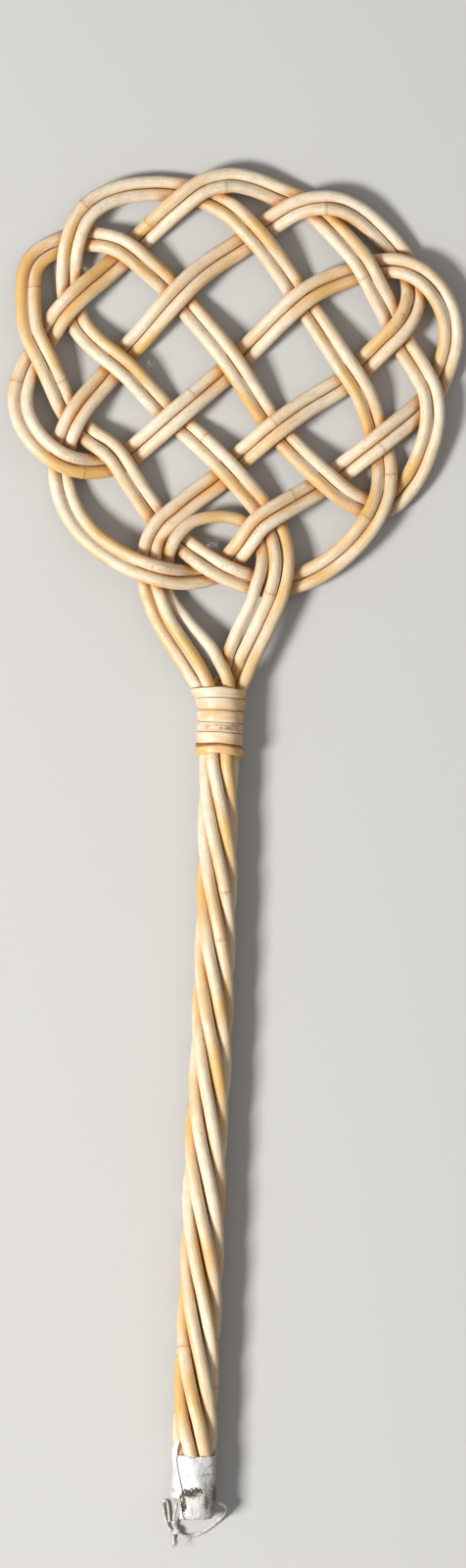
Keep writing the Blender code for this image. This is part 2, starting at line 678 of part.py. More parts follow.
def add_binding(bundle, collection, parent, material):
    """The flat strip wound round the neck, leaning out where the legs spread.

    Each turn lies nearly level across the front and drops to the next one behind.
    """
    ends = cane_ends(bundle)
    drops = STRIP_TURNS - level_shift(STRIP_TURNS)
    width = (BINDING_LENGTH - drops * STRIP_GAP) / (drops + 1)
    pitch = width + STRIP_GAP
    count = round(STRIP_TURNS * STRIP_STEPS_PER_TURN)
    round_out = 1 / math.cos(math.pi / STRIP_STEPS_PER_TURN)
    rings = []
    for step in range(count + 1):
        turn = step / STRIP_STEPS_PER_TURN
        angle = math.pi - 2 * math.pi * turn
        middle = -width / 2 - pitch * (turn - level_shift(turn))
        edges = [wrap_radius(ends, middle + side * width / 2, angle) * round_out + STRIP_CLEARANCE
                 for side in (-1, 1)]
        ring = []
        for across, depth in STRIP_SECTION_SHARES:
            along = middle + across * width
            radius = edges[0] + (edges[1] - edges[0]) * (across + 1 / 2) + depth * STRIP_THICKNESS
            ring.append((handle_axis(along) + radius * math.cos(angle), along,
                         radius * math.sin(angle)))
        rings.append(ring)
    points = np.array(rings)
    near = points[:-STRIP_STEPS_PER_TURN]
    far = points[STRIP_STEPS_PER_TURN:]
    apart = np.linalg.norm(near[:, :, None, :] - far[:, None, :, :], axis=3).min()
    print("least gap between turns of the binding, mm", round(apart / MM, 3))
    return add_loft("neck_binding", rings, collection, parent, material)


def add_core(collection, parent, material):
    """The straight cane hidden in the middle of the handle."""
    along = resample(np.array([[0, -CORE_SETBACK], [0, CANE_END]]), CORE_STEP)[:, 1]
    mid_step = math.cos(math.pi * HANDLE_STEP / LAY_PITCH)
    share = -along / HANDLE_LENGTH
    ring = (NECK_RING + share * (BUTT_RING - NECK_RING)) * mid_step
    radii = ring - cane_radius(along) - CORE_GAP
    points = np.column_stack((handle_axis(along), along, np.zeros(len(along))))
    return add_tube("handle_core", points, radii, collection, parent, material)


def add_end_tape(collection, cutters, parent, material):
    """Tape wrapped over the butt as a closed sleeve, torn open where the string comes out."""
    inner_corner = TAPE_CORNER_RADIUS - TAPE_WALL
    end = TAPE_LENGTH
    profile = [(0, end)]
    profile += arc((TAPE_RADIUS - TAPE_CORNER_RADIUS, end - TAPE_CORNER_RADIUS),
                   TAPE_CORNER_RADIUS, 1, 0)
    profile += [(TAPE_RADIUS, 0), (TAPE_BORE, 0)]
    profile += arc((TAPE_BORE - inner_corner, end - TAPE_CORNER_RADIUS), inner_corner, 0, 1)
    profile += [(0, end - TAPE_WALL)]
    tape = add_turned("end_tape", profile, collection, parent, material)
    tape.location = (float(handle_axis(TAPE_TOP)), TAPE_TOP, 0)
    tape.rotation_euler = (math.pi / 2, 0, 0)
    bpy.ops.mesh.primitive_cube_add(size=1)
    cutter = bpy.context.object
    cutter.name = "tape_tear_cutter"
    cutter.parent = parent
    for holder in cutter.users_collection:
        holder.objects.unlink(cutter)
    cutters.objects.link(cutter)
    cutter.hide_render = True
    cutter.display_type = "WIRE"
    side = CORD_LEFT + STRING_DIAMETER / 2 + TEAR_CLEARANCE
    low, high = -(HANDLE_LENGTH + OVERRUN), CORD_EXIT + TEAR_REACH
    left, tall = -(TAPE_RADIUS + OVERRUN), TAPE_RADIUS + OVERRUN
    cutter.scale = (side - left, high - low, 2 * tall)
    cutter.location = (float(handle_axis(TAPE_TOP)) + (left + side) / 2, (low + high) / 2, 0)
    cut = tape.modifiers.new("Tear", "BOOLEAN")
    cut.operation = "DIFFERENCE"
    cut.solver = "EXACT"
    cut.object = cutter
    return tape


def cord_curve(offsets, step=CORD_STEP):
    """Smooth curve through points given from the middle of the string's swing axis."""
    return resample(catmull_rom(np.array(offsets, float)), step)


def add_cord(collection, swing, material):
    """The string loop, its knot, its ear and its tail, all on the swing axis."""
    radius = STRING_DIAMETER / 2
    loop = cord_curve(CORD_ROUTE)
    add_tube("hanging_cord", loop, np.full(len(loop), radius), collection, swing, material)
    for name, route, thick in (("cord_ear", EAR_ROUTE, EAR_DIAMETER),
                               ("cord_tail", TAIL_ROUTE, TAIL_DIAMETER)):
        points = cord_curve(route)
        add_tube(name, points, np.full(len(points), thick / 2), collection, swing, material)
    bore = radius + KNOT_CLEARANCE
    body = (KNOT_DIAMETER / 2 - bore) / 2
    profile = [(bore + body + body * math.cos(a), KNOT_LENGTH / 2 * math.sin(a))
               for a in np.linspace(math.pi, -math.pi, KNOT_STEPS + 1)]
    knot = add_turned("cord_knot", profile, collection, swing, material)
    at = int(np.argmin(np.linalg.norm(loop - np.array(KNOT_PLACE), axis=1)))
    run = Vector(loop[at + 1] - loop[at - 1])
    knot.rotation_mode = "QUATERNION"
    knot.rotation_quaternion = run.to_track_quat("Z", "Y")
    knot.location = Vector(loop[at])
    print("length of the hanging cord, mm", round(lengths_along(loop)[-1] / MM, 1))


def world_box(pieces):
    """Lowest and highest corners of the evaluated pieces in the world."""
    graph = bpy.context.evaluated_depsgraph_get()
    corners = []
    for piece in pieces:
        evaluated = piece.evaluated_get(graph)
        mesh = evaluated.to_mesh()
        corners += [evaluated.matrix_world @ vertex.co for vertex in mesh.vertices]
        evaluated.to_mesh_clear()
    points = np.array(corners)
    return points.min(axis=0), points.max(axis=0)


def main():
    for old in list(bpy.data.objects):
        bpy.data.objects.remove(old, do_unlink=True)
    collection = bpy.data.collections.new("carpet_beater")
    cutters = bpy.data.collections.new("carpet_beater_cutters")
    for made in (collection, cutters):
        bpy.context.scene.collection.children.link(made)
    frame = bpy.data.objects.new("handle_frame", None)
    swing = bpy.data.objects.new("hanging_loop_axis", None)
    for empty in (frame, swing):
        collection.objects.link(empty)
    swing.parent = frame
    swing.location = (float(handle_axis(TAPE_TOP)), CORD_EXIT, 0)
    materials = {name: make_material(name) for name in MATERIALS}

    bundle = lay_canes()
    for index, name in enumerate(bundle.names):
        points, radii = bundle.path(index)
        add_tube(name, points, radii, collection, frame, materials["peeled_rattan"])
    add_core(collection, frame, materials["core_rattan"])
    add_binding(bundle, collection, frame, materials["binding_cane"])
    add_end_tape(collection, cutters, frame, materials["adhesive_tape"])
    add_cord(collection, swing, materials["cotton_string"])

    bpy.context.view_layer.update()
    solid = [piece for piece in collection.objects
             if piece.type != "EMPTY" and piece.parent == frame]
    low, high = world_box(solid)
    frame.location = (-(low[0] + high[0]) / 2, -(low[1] + high[1]) / 2, -low[2])
    bpy.context.view_layer.update()
    print("size without the cord, mm", ((high - low) / MM).round(2))
    print("handle frame at, m", tuple(round(value, 6) for value in frame.location))
    print("swing axis at, m", tuple(round(value, 6) for value in swing.matrix_world.translation))


if __name__ == "__main__":
    main()
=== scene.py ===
"""Looks of the carpet beater: peeled canes, strip binding, cloth tape and cotton string.

The canes keep the centre lines of the CAD solids, which are read back ring by ring. Geometry
Nodes lay a fine round cane along each of them, wind the strip, twist the string and draw the
loose fibres. Attributes on the meshes carry what the finishes need: the place along and round
a cane, how near its neighbours press, the growth rings and the stretch of a bend.

Metres, +Z up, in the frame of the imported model.
"""
from __future__ import annotations

import logging
import math
from collections.abc import Callable
from dataclasses import dataclass, field
from enum import Enum
from functools import partial

import bmesh
import bpy
import numpy as np
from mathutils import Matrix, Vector, noise

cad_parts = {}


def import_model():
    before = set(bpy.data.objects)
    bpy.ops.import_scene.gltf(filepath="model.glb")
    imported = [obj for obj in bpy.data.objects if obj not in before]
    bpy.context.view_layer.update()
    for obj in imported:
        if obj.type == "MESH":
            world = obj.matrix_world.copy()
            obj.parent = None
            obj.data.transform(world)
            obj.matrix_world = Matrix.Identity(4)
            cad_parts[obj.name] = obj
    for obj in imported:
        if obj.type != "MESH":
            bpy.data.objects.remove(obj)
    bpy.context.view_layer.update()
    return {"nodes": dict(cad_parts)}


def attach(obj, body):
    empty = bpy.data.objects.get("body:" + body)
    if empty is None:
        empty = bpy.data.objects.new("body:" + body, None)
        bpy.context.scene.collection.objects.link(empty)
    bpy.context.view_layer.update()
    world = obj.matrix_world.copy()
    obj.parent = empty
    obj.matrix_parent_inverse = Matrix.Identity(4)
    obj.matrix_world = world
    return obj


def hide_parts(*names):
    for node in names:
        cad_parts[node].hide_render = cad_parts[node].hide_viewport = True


LOG = logging.getLogger("carpet_beater")
MM = 0.001
SEED = 7
TURN = 2 * math.pi

# Kinds of range that a value is read through, straight or eased at its ends
RANGES = ("LINEAR", "SMOOTHSTEP")

# Kinds of attribute that a node tree reads and stores
NUMBER, VECTOR = {"data_type": "FLOAT"}, {"data_type": "FLOAT_VECTOR"}

# Photograph: size in pixels, scale on the object, and the pixel of the neck's middle
PHOTO_PX = (476, 1600)
HEAD_PX = 466
HEAD_WIDTH = 257 * MM
NECK_PX = (226.1, 701.0)
BUTT_PX = (199.3, 1500.0)
PIXEL = HEAD_WIDTH / HEAD_PX
TILT = math.atan2(NECK_PX[0] - BUTT_PX[0], BUTT_PX[1] - NECK_PX[1])

# Places of the CAD model: middle of the neck, and the swing axis of the string
NECK_PLACE = np.array((-1.982, 88.212, 13.437)) * MM
SWING_PLACE = np.array((-2.423, -371.188, 13.437)) * MM

# The camera's height over the floor, and the level that fills the frame as the photograph does
CAMERA_HEIGHT = 4.0
WEAVE_HEIGHT = 12 * MM

# Routes of the string, its ear and its tail from the swing axis, as in the CAD model
CORD_ROUTE = np.array((
    (13.25, 0, 0), (15, 0, -0.2), (16.9, -0.7, -1.4), (18.1, -2.2, -3.6), (18.2, -4.4, -6.4),
    (17.2, -7, -9.2), (14.6, -10.4, -11.4), (11, -13.6, -12.1), (6.8, -16.8, -12.1),
    (2.4, -19, -12), (-2, -20, -11.5), (-5.8, -19.6, -10.8), (-8.6, -17.6, -10.5),
    (-10.2, -14.8, -10.6), (-10.6, -11.6, -10.2), (-10.4, -8.6, -8.2), (-10.1, -6, -5.6),
    (-9.8, -3.6, -3), (-9.6, -1.6, -1.1), (-9.6, 0, 0),
)) * MM
EAR_ROUTE = np.array((
    (-12.4, -17.6, -11.2), (-14.4, -13.6, -11.9), (-15.9, -8.8, -12), (-16.9, -4, -12),
    (-16.8, -1.2, -12), (-15.6, -0.3, -12), (-14.5, -1.6, -12), (-13.9, -5, -12),
    (-13.5, -8.6, -12), (-13.1, -12.2, -12),
)) * MM
TAIL_ROUTE = np.array((
    (-10.4, -19.45, -11.4), (-10.5, -21.4, -12.1), (-10.3, -23.4, -12.3), (-10.2, -25.2, -12.3),
)) * MM
KNOT_PLACE = np.array((-9.2, -17, -10.5)) * MM

# Growth rings of the canes, where the photograph shows them
GROWTH_RINGS_PX = (
    (151.5, 226), (90, 213), (229.5, 188), (61.5, 389), (13, 389), (332.5, 210.5), (365.5, 285.5),
    (194.5, 401), (86.5, 481), (280.5, 432), (391, 456.5), (399, 485.5), (300.5, 507),
    (371.5, 524.5), (276, 605), (211, 446), (37, 293),
)

# The cane of the left leg that lies over others above the binding
LAID_OVER_PX = (222, 692)

# Tip of the core between the legs, and where lint is caught, with its spread and its fibres
CORE_TIP_PX = ((222.5, 694.5), (226, 692.8), (229.5, 694.5), (231.5, 698.5))
LINT_PX = (((214, 555), (9, 4), 34), ((89, 275), (3, 3), 14), ((61, 402), (3, 5), 8),
           ((152, 372), (4, 3), 6))

# Edges of the binding's turns at its left, middle and right, from the top to the bottom
BAND_COLUMNS_PX = (197, 222, 247)
BAND_EDGES_PX = (
    (702, 700, 704.5), (712, 711, 713), (724, 724, 726), (736, 737, 738.5), (746, 746.5, 749),
    (758.5, 758, 762), (771, 768, 773),
)

# The tape: its upper edge, its lapped edge, its torn places, creases and dirt, and painted
# shade under the torn flaps
TAPE_EDGE_PX = ((181, 1485), (188, 1485), (196, 1488), (206, 1486.5), (218, 1485.5), (221, 1481))
TAPE_LAP_PX = ((184.2, 1468), (182.4, 1479), (181.2, 1490), (182.4, 1499), (184.4, 1510),
               (186.6, 1521), (187, 1551))
TAPE_HOLES_PX = (((201, 1521), (5.5, 2.2)), ((192, 1524), (5.5, 3.2)), ((186.5, 1531), (2.6, 5.5)),
                 ((188, 1539), (1.8, 3.0)))
TAPE_CREASES_PX = (((207, 1505.5), (218, 1504)), ((210, 1499), (217, 1495)),
                   ((196, 1539), (198, 1547)))
TAPE_DIRT_AND_SHADE_PX = (
    ((210.5, 1534), (4.2, 12), 1.15), ((219, 1525), (5.5, 18), 1.15), ((217, 1539), (6, 8), 0.95),
    ((197, 1525), (12, 6), 1.1), ((187.5, 1535), (4.5, 11), 1.0), ((214, 1505), (9, 3), 0.55),
    ((194, 1543), (4, 4), 0.5), ((221, 1490), (3, 8), 0.6), ((186, 1484), (3, 3), 0.8),
)


class Body(Enum):
    """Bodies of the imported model."""

    BEATER = "beater"
    LOOP = "hanging_loop"


class Slot(Enum):
    """Material slots."""

    CANE = "peeled_rattan"
    CORE = "core_rattan"
    BINDING = "binding_cane"
    TAPE = "adhesive_tape"
    STRING = "cotton_string"


def linear(colour: str) -> tuple[float, float, float, float]:
    """Turns an sRGB hex colour to linear.

    Args:
        colour: six hex digits after a hash sign.

    Returns:
        Red, green, blue and an alpha of 1.
    """
    values = [int(colour[place:place + 2], 16) / 255 for place in (1, 3, 5)]
    red, green, blue = (value / 12.92 if value <= 0.04045 else ((value + 0.055) / 1.055) ** 2.4
                        for value in values)
    return red, green, blue, 1.0


def photo_point(place: tuple[float, float]) -> np.ndarray:
    """Turns a pixel of the photograph to a place on the level of the weave.

    Args:
        place: column and row in the photograph.

    Returns:
        X and Y in metres.
    """
    across, down = place[0] - NECK_PX[0], place[1] - NECK_PX[1]
    x = across * math.cos(TILT) + down * math.sin(TILT)
    y = across * math.sin(TILT) - down * math.cos(TILT)
    return NECK_PLACE[:2] + np.array((x, y)) * PIXEL


def seen_place(points: np.ndarray) -> np.ndarray:
    """Gives where points show on the level of the weave, from the camera.

    Args:
        points: the points, with X, Y and Z as their last axis.

    Returns:
        X and Y of each.
    """
    under = photo_point((PHOTO_PX[0] / 2, PHOTO_PX[1] / 2))
    spread = (CAMERA_HEIGHT - WEAVE_HEIGHT) / (CAMERA_HEIGHT - points[..., 2:3])
    return under + (points[..., :2] - under) * spread


def feed(tree: bpy.types.NodeTree, socket: bpy.types.NodeSocket, value: object) -> None:
    """Sets a socket, or links it to what feeds it.

    Args:
        tree: the tree of its node.
        socket: the socket.
        value: its value, the output that feeds it, or a node whose first output does.
    """
    if isinstance(value, bpy.types.Node):
        value = next(output for output in value.outputs if output.enabled)
    if isinstance(value, bpy.types.NodeSocket):
        tree.links.new(value, socket)
    else:
        socket.default_value = value


def add_node(tree: bpy.types.NodeTree, kind: str, settings: dict | None = None,
             links: dict | None = None) -> bpy.types.Node:
    """Adds a node with its settings and links.

    Args:
        tree: the tree that the node goes in.
        kind: Blender's name of the node type.
        settings: values of the node's own properties.
        links: for each input, by name or number, what feeds it.

    Returns:
        The new node.
    """
    node = tree.nodes.new(kind)
    for name, value in (settings or {}).items():
        setattr(node, name, value)
    for name, value in (links or {}).items():
        feed(tree, node.inputs[name], value)
    return node


def smooth_step(value: np.ndarray | float) -> np.ndarray:
    """Eases from 0 to 1.

    Args:
        value: where on the step, 0 at its start and 1 at its end.

    Returns:
        The eased share.
    """
    share = np.clip(value, 0, 1)
    return share * share * (3 - 2 * share)


def soft_window(count: int) -> np.ndarray:
    """Gives bell-shaped weights that add up to 1."""
    return np.hanning(count) / np.hanning(count).sum()


def lengths_along(points: np.ndarray) -> np.ndarray:
    """Gives the distance of each point along its polyline, from the first one."""
    steps = np.linalg.norm(np.diff(points, axis=0), axis=1)
    return np.concatenate(([0], np.cumsum(steps)))


def smooth_line(points: np.ndarray, step: float) -> np.ndarray:
    """Lays an evenly spaced Catmull-Rom curve through points.

    Args:
        points: the points it passes through, which may carry more than three columns.
        step: spacing of the points of the curve.

    Returns:
        Points of the curve.
    """
    padded = np.vstack((2 * points[0] - points[1], points, 2 * points[-1] - points[-2]))
    before, start, end, after = (padded[first:last, None, :] for first, last in
                                 ((0, -3), (1, -2), (2, -1), (3, None)))
    at = np.linspace(0, 1, 8, endpoint=False)[None, :, None]
    curve = 0.5 * (2 * start + (end - before) * at
                   + (2 * before - 5 * start + 4 * end - after) * at ** 2
                   + (3 * start - before - 3 * end + after) * at ** 3)
    dense = np.vstack((curve.reshape(-1, points.shape[1]), points[-1]))
    along = lengths_along(dense[:, :3])
    wanted = np.linspace(0, along[-1], max(2, round(along[-1] / step) + 1))
    return np.column_stack([np.interp(wanted, along, column) for column in dense.T])


def uneven(points: np.ndarray, rate: float, *kind: float,
           shift: tuple[float, float, float] = (0, 0, 0)) -> np.ndarray:
    """Gives fractal noise at each point of a grid.

    Args:
        points: the points, as rows by columns by 3.
        rate: how often the noise repeats in a unit.
        kind: its fractal increment, its lacunarity and its octaves.
        shift: added to each point, so that two fields differ.

    Returns:
        The noise, as rows by columns.
    """
    return np.array([[noise.fractal(Vector(point) * rate + Vector(shift), *kind) for point in row]
                     for row in points])


def unit(vector: np.ndarray) -> np.ndarray:
    """Gives the direction of a vector, with a length of 1."""
    return vector / np.linalg.norm(vector)


def curl(random: np.random.Generator, start: np.ndarray, heading: np.ndarray, length: float,
         wander: float, steps: int = 9) -> np.ndarray:
    """Draws one loose fibre that bends slowly one way and another.

    Args:
        random: source of the bends.
        start: where the fibre leaves its thread.
        heading: the way that it sets off.
        length: its length.
        wander: how much it bends, 0 for straight.
        steps: number of straight steps.

    Returns:
        Points of the fibre.
    """
    way = unit(np.array(heading, float))
    bend = random.normal(size=3) * wander
    points = [np.array(start, float)]
    for _ in range(steps):
        bend += random.normal(size=3) * wander * 0.7
        way = unit(way + bend / steps)
        points.append(points[-1] + way * length / steps)
    return np.array(points)


def read_rings(node: bpy.types.Object, sides: int) -> np.ndarray:
    """Reads the rings of points of a CAD tube, from one end to the other.

    Args:
        node: the tube's CAD node.
        sides: number of points in a ring.

    Returns:
        The points, as rings by sides by 3.
    """
    sketch = bmesh.new()
    sketch.from_mesh(node.data)
    bmesh.ops.remove_doubles(sketch, verts=sketch.verts, dist=0.001 * MM)
    lowest = min(vertex.co.y for vertex in sketch.verts)
    start = min(sketch.verts, key=lambda vertex: (vertex.co.y > lowest + 4 * MM, vertex.co.x))
    level = set(sorted(sketch.verts, key=lambda vertex: (vertex.co - start.co).length)[:sides])
    seen = set(level)
    rings = []
    while level:
        rings.append([tuple(vertex.co) for vertex in level])
        level = {edge.other_vert(vertex) for vertex in level for edge in vertex.link_edges} - seen
        seen |= level
    sketch.free()
    return np.array([ring for ring in rings if len(ring) == sides])


def tie(piece: bpy.types.Object, body: Body, slot: Slot,
        nodes: tuple[str, ...] = ()) -> bpy.types.Object:
    """Ties a piece to its body and hides the CAD nodes that it stands for.

    Args:
        piece: the piece.
        body: the body that it rides on.
        slot: not used.
        nodes: CAD nodes that it stands for.

    Returns:
        The same piece.
    """
    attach(piece, body.value)
    if nodes:
        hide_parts(*nodes)
    LOG.info("%s: %s faces on %s", piece.name, len(piece.data.polygons), body.value)
    return piece


def show(name: str, mesh: bpy.types.Mesh) -> bpy.types.Object:
    """Puts a mesh in the scene as an object of that name."""
    piece = bpy.data.objects.new(name, mesh)
    bpy.context.scene.collection.objects.link(piece)
    return piece


def set_attribute(mesh: bpy.types.Mesh, name: str, values: np.ndarray) -> None:
    """Stores a number or a vector on each point of a mesh.

    Args:
        mesh: the mesh.
        name: name of the attribute.
        values: one number or one row of three for each point.
    """
    kind, key = ("FLOAT", "value") if values.ndim == 1 else ("FLOAT_VECTOR", "vector")
    attribute = mesh.attributes.get(name) or mesh.attributes.new(name, kind, "POINT")
    attribute.data.foreach_set(key, values.astype(np.float32).ravel())


def get_points(mesh: bpy.types.Mesh) -> np.ndarray:
    """Gives a mesh's points, one a row."""
    points = np.zeros(len(mesh.vertices) * 3, np.float32)
    mesh.vertices.foreach_get("co", points)
    return points.reshape(-1, 3).astype(float)


def guide_mesh(name: str, lines: list[np.ndarray], **values: np.ndarray) -> bpy.types.Mesh:
    """Makes a mesh of open lines for a node tree to start from.

    Args:
        name: its name.
        lines: the points of each line.
        values: attributes, each with a value for every point of all the lines.

    Returns:
        The mesh of edges.
    """
    mesh = bpy.data.meshes.new(name)
    edges, first = [], 0
    for line in lines:
        edges += [(first + index, first + index + 1) for index in range(len(line) - 1)]
        first += len(line)
    mesh.from_pydata([tuple(point[:3]) for line in lines for point in line], edges, [])
    for key, value in values.items():
        set_attribute(mesh, key, value)
    return mesh


def grow(guide: bpy.types.Mesh, tree: bpy.types.NodeTree, sizes: dict, name: str) -> bpy.types.Mesh:
    """Runs a node tree on a guide mesh and gives the result as a plain mesh.

    Args:
        guide: the mesh that the tree starts from.
        tree: the node tree.
        sizes: what each of its named inputs is set to.
        name: name of the result.

    Returns:
        The resulting mesh, with its faces outwards.
    """
    holder = show(name + "_guide", guide)
    modifier = holder.modifiers.new("Grow", "NODES")
    modifier.node_group = tree
    sockets = {item.name: item.identifier for item in tree.interface.items_tree
               if item.in_out == "INPUT"}
    for label, value in sizes.items():
        modifier[sockets[label]] = value
    graph = bpy.context.evaluated_depsgraph_get()
    mesh = bpy.data.meshes.new_from_object(holder.evaluated_get(graph), depsgraph=graph)
    mesh.name = name
    bpy.data.objects.remove(holder)
    sketch = bmesh.new()
    sketch.from_mesh(mesh)
    bmesh.ops.recalc_face_normals(sketch, faces=sketch.faces)
    sketch.to_mesh(mesh)
    sketch.free()
    mesh.shade_smooth()
    return mesh


def start_tree(name: str, sizes: dict[str, str]) -> tuple:
    """Starts a node tree that grows a piece from a guide mesh.

    Args:
        name: its name.
        sizes: its named inputs, each with its socket's type.

    Returns:
        The tree, a function that adds a node to it, and the outputs of its input node.
    """
    tree = bpy.data.node_groups.new(name, "GeometryNodeTree")
    tree.interface.new_socket("Geometry", in_out="OUTPUT", socket_type="NodeSocketGeometry")
    for label, kind in {"Guide": "Geometry", **sizes, "Finish": "Material"}.items():
        tree.interface.new_socket(label, in_out="INPUT", socket_type="NodeSocket" + kind)
    node = partial(add_node, tree)
    return tree, node, node("NodeGroupInput").outputs


def store_coords(node: Callable, geometry: object, flat: object, name: str) -> bpy.types.Node:
    """Stores where each point lies across and along its line, in millimetres.

    Args:
        node: adds a node to the tree.
        geometry: what the points belong to.
        flat: their places across the line, in metres.
        name: name of the attribute.

    Returns:
        The node of the geometry that carries it.
    """
    along = node("GeometryNodeInputNamedAttribute", NUMBER, {"Name": "along"})
    wide = node("ShaderNodeVectorMath", {"operation": "SCALE"}, {"Vector": flat, "Scale": 1 / MM})
    far = node("ShaderNodeCombineXYZ", {}, {"Z": along})
    coords = node("ShaderNodeVectorMath", {"operation": "ADD"}, {0: wide, 1: far})
    return node("GeometryNodeStoreNamedAttribute", VECTOR, {
        "Geometry": geometry, "Name": name, "Value": coords})


def end_tree(tree: bpy.types.NodeTree, geometry: bpy.types.Node,
             finish: bpy.types.NodeSocket) -> bpy.types.NodeTree:
    """Ends a node tree with real geometry that wears its finish.

    Args:
        tree: the tree.
        geometry: the node that ends what it has grown.
        finish: the input that holds its material.

    Returns:
        The same tree.
    """
    real = add_node(tree, "GeometryNodeRealizeInstances", {}, {"Geometry": geometry})
    worn = add_node(tree, "GeometryNodeSetMaterial", {}, {"Geometry": real, "Material": finish})
    add_node(tree, "NodeGroupOutput", {}, {"Geometry": worn})
    return tree


def start_material(name: str, coords: str = "", marks: tuple[str, ...] = ()) -> tuple:
    """Starts a node material.

    Args:
        name: its name.
        coords: the attribute that its patterns follow, or nothing for Object coordinates.
        marks: attributes that say where the piece is pressed, bent or worn.

    Returns:
        The material, a function that adds a node to it, the coordinates, and the marks by name.
    """
    material = bpy.data.materials.new(name)
    material.use_nodes = True
    node = partial(add_node, material.node_tree)
    place = (node("ShaderNodeAttribute", {"attribute_name": coords}).outputs["Vector"] if coords
             else node("ShaderNodeTexCoord").outputs["Object"])
    return material, node, place, {
        mark: node("ShaderNodeAttribute", {"attribute_name": mark}).outputs["Fac"]
        for mark in marks}


def draw_patterns(node: Callable, place: bpy.types.NodeSocket, patterns: dict) -> dict:
    """Draws soft irregular patterns.

    Args:
        node: adds a node to the material.
        place: the coordinates that they follow.
        patterns: for each name, how often it repeats in a unit of X, Y and Z, its detail and
            its roughness.

    Returns:
        The nodes by name, each with values round a half.
    """
    drawn = {}
    for name, (rates, detail, roughness) in patterns.items():
        spread = node("ShaderNodeVectorMath", {"operation": "MULTIPLY"}, {0: place, 1: rates})
        drawn[name] = node("ShaderNodeTexNoise", {}, {
            "Vector": spread, "Scale": 1.0, "Detail": detail, "Roughness": roughness})
    return drawn


def work_out(node: Callable, values: dict, steps: tuple) -> None:
    """Works out named values, step by step.

    Args:
        node: adds a node to the tree.
        values: the named values so far, which each step adds to.
        steps: for each, its name, its operation or the kind of its range, and what it takes:
            numbers, sockets or names of values. A range takes the value, the two ends that are
            read, and the two that are given where they aren't 0 and 1.
    """
    for name, way, *taken in steps:
        kind, setting = (("ShaderNodeMapRange", "interpolation_type") if way in RANGES
                         else ("ShaderNodeMath", "operation"))
        values[name] = node(kind, {setting: way}, {
            index: values[item] if isinstance(item, str) else item
            for index, item in enumerate(taken)})


def paint(node: Callable, values: dict, steps: tuple, ground: object, layers: tuple) -> object:
    """Works out named values and lays colours over a ground by them.

    Args:
        node: adds a node to the material.
        values: the named values so far, which each step adds to.
        steps: the steps, as work_out takes them.
        ground: the lowest colour.
        layers: names of the values that are the shares of the colours, with the hex colours.

    Returns:
        The colour on top.
    """
    work_out(node, values, steps)
    for name, colour in layers:
        ground = node("ShaderNodeMix", {"data_type": "RGBA"},
                      {0: values[name], 6: ground, 7: linear(colour)})
    return ground


def end_material(material: bpy.types.Material, colour: object, height: object,
                 relief: tuple[float, float], roughness: object) -> bpy.types.Material:
    """Ends a material with its colour, its fine relief and its roughness.

    Args:
        material: the material.
        colour: its colour.
        height: height of the relief.
        relief: strength and depth in millimetres of the relief.
        roughness: its roughness, as a number or worked out.

    Returns:
        The same material.
    """
    tree = material.node_tree
    bump = add_node(tree, "ShaderNodeBump", {}, {
        "Strength": relief[0], "Distance": relief[1] * MM, "Height": height})
    for name, value in (("Base Color", colour), ("Roughness", roughness), ("Normal", bump)):
        feed(tree, tree.nodes["Principled BSDF"].inputs[name], value)
    return material


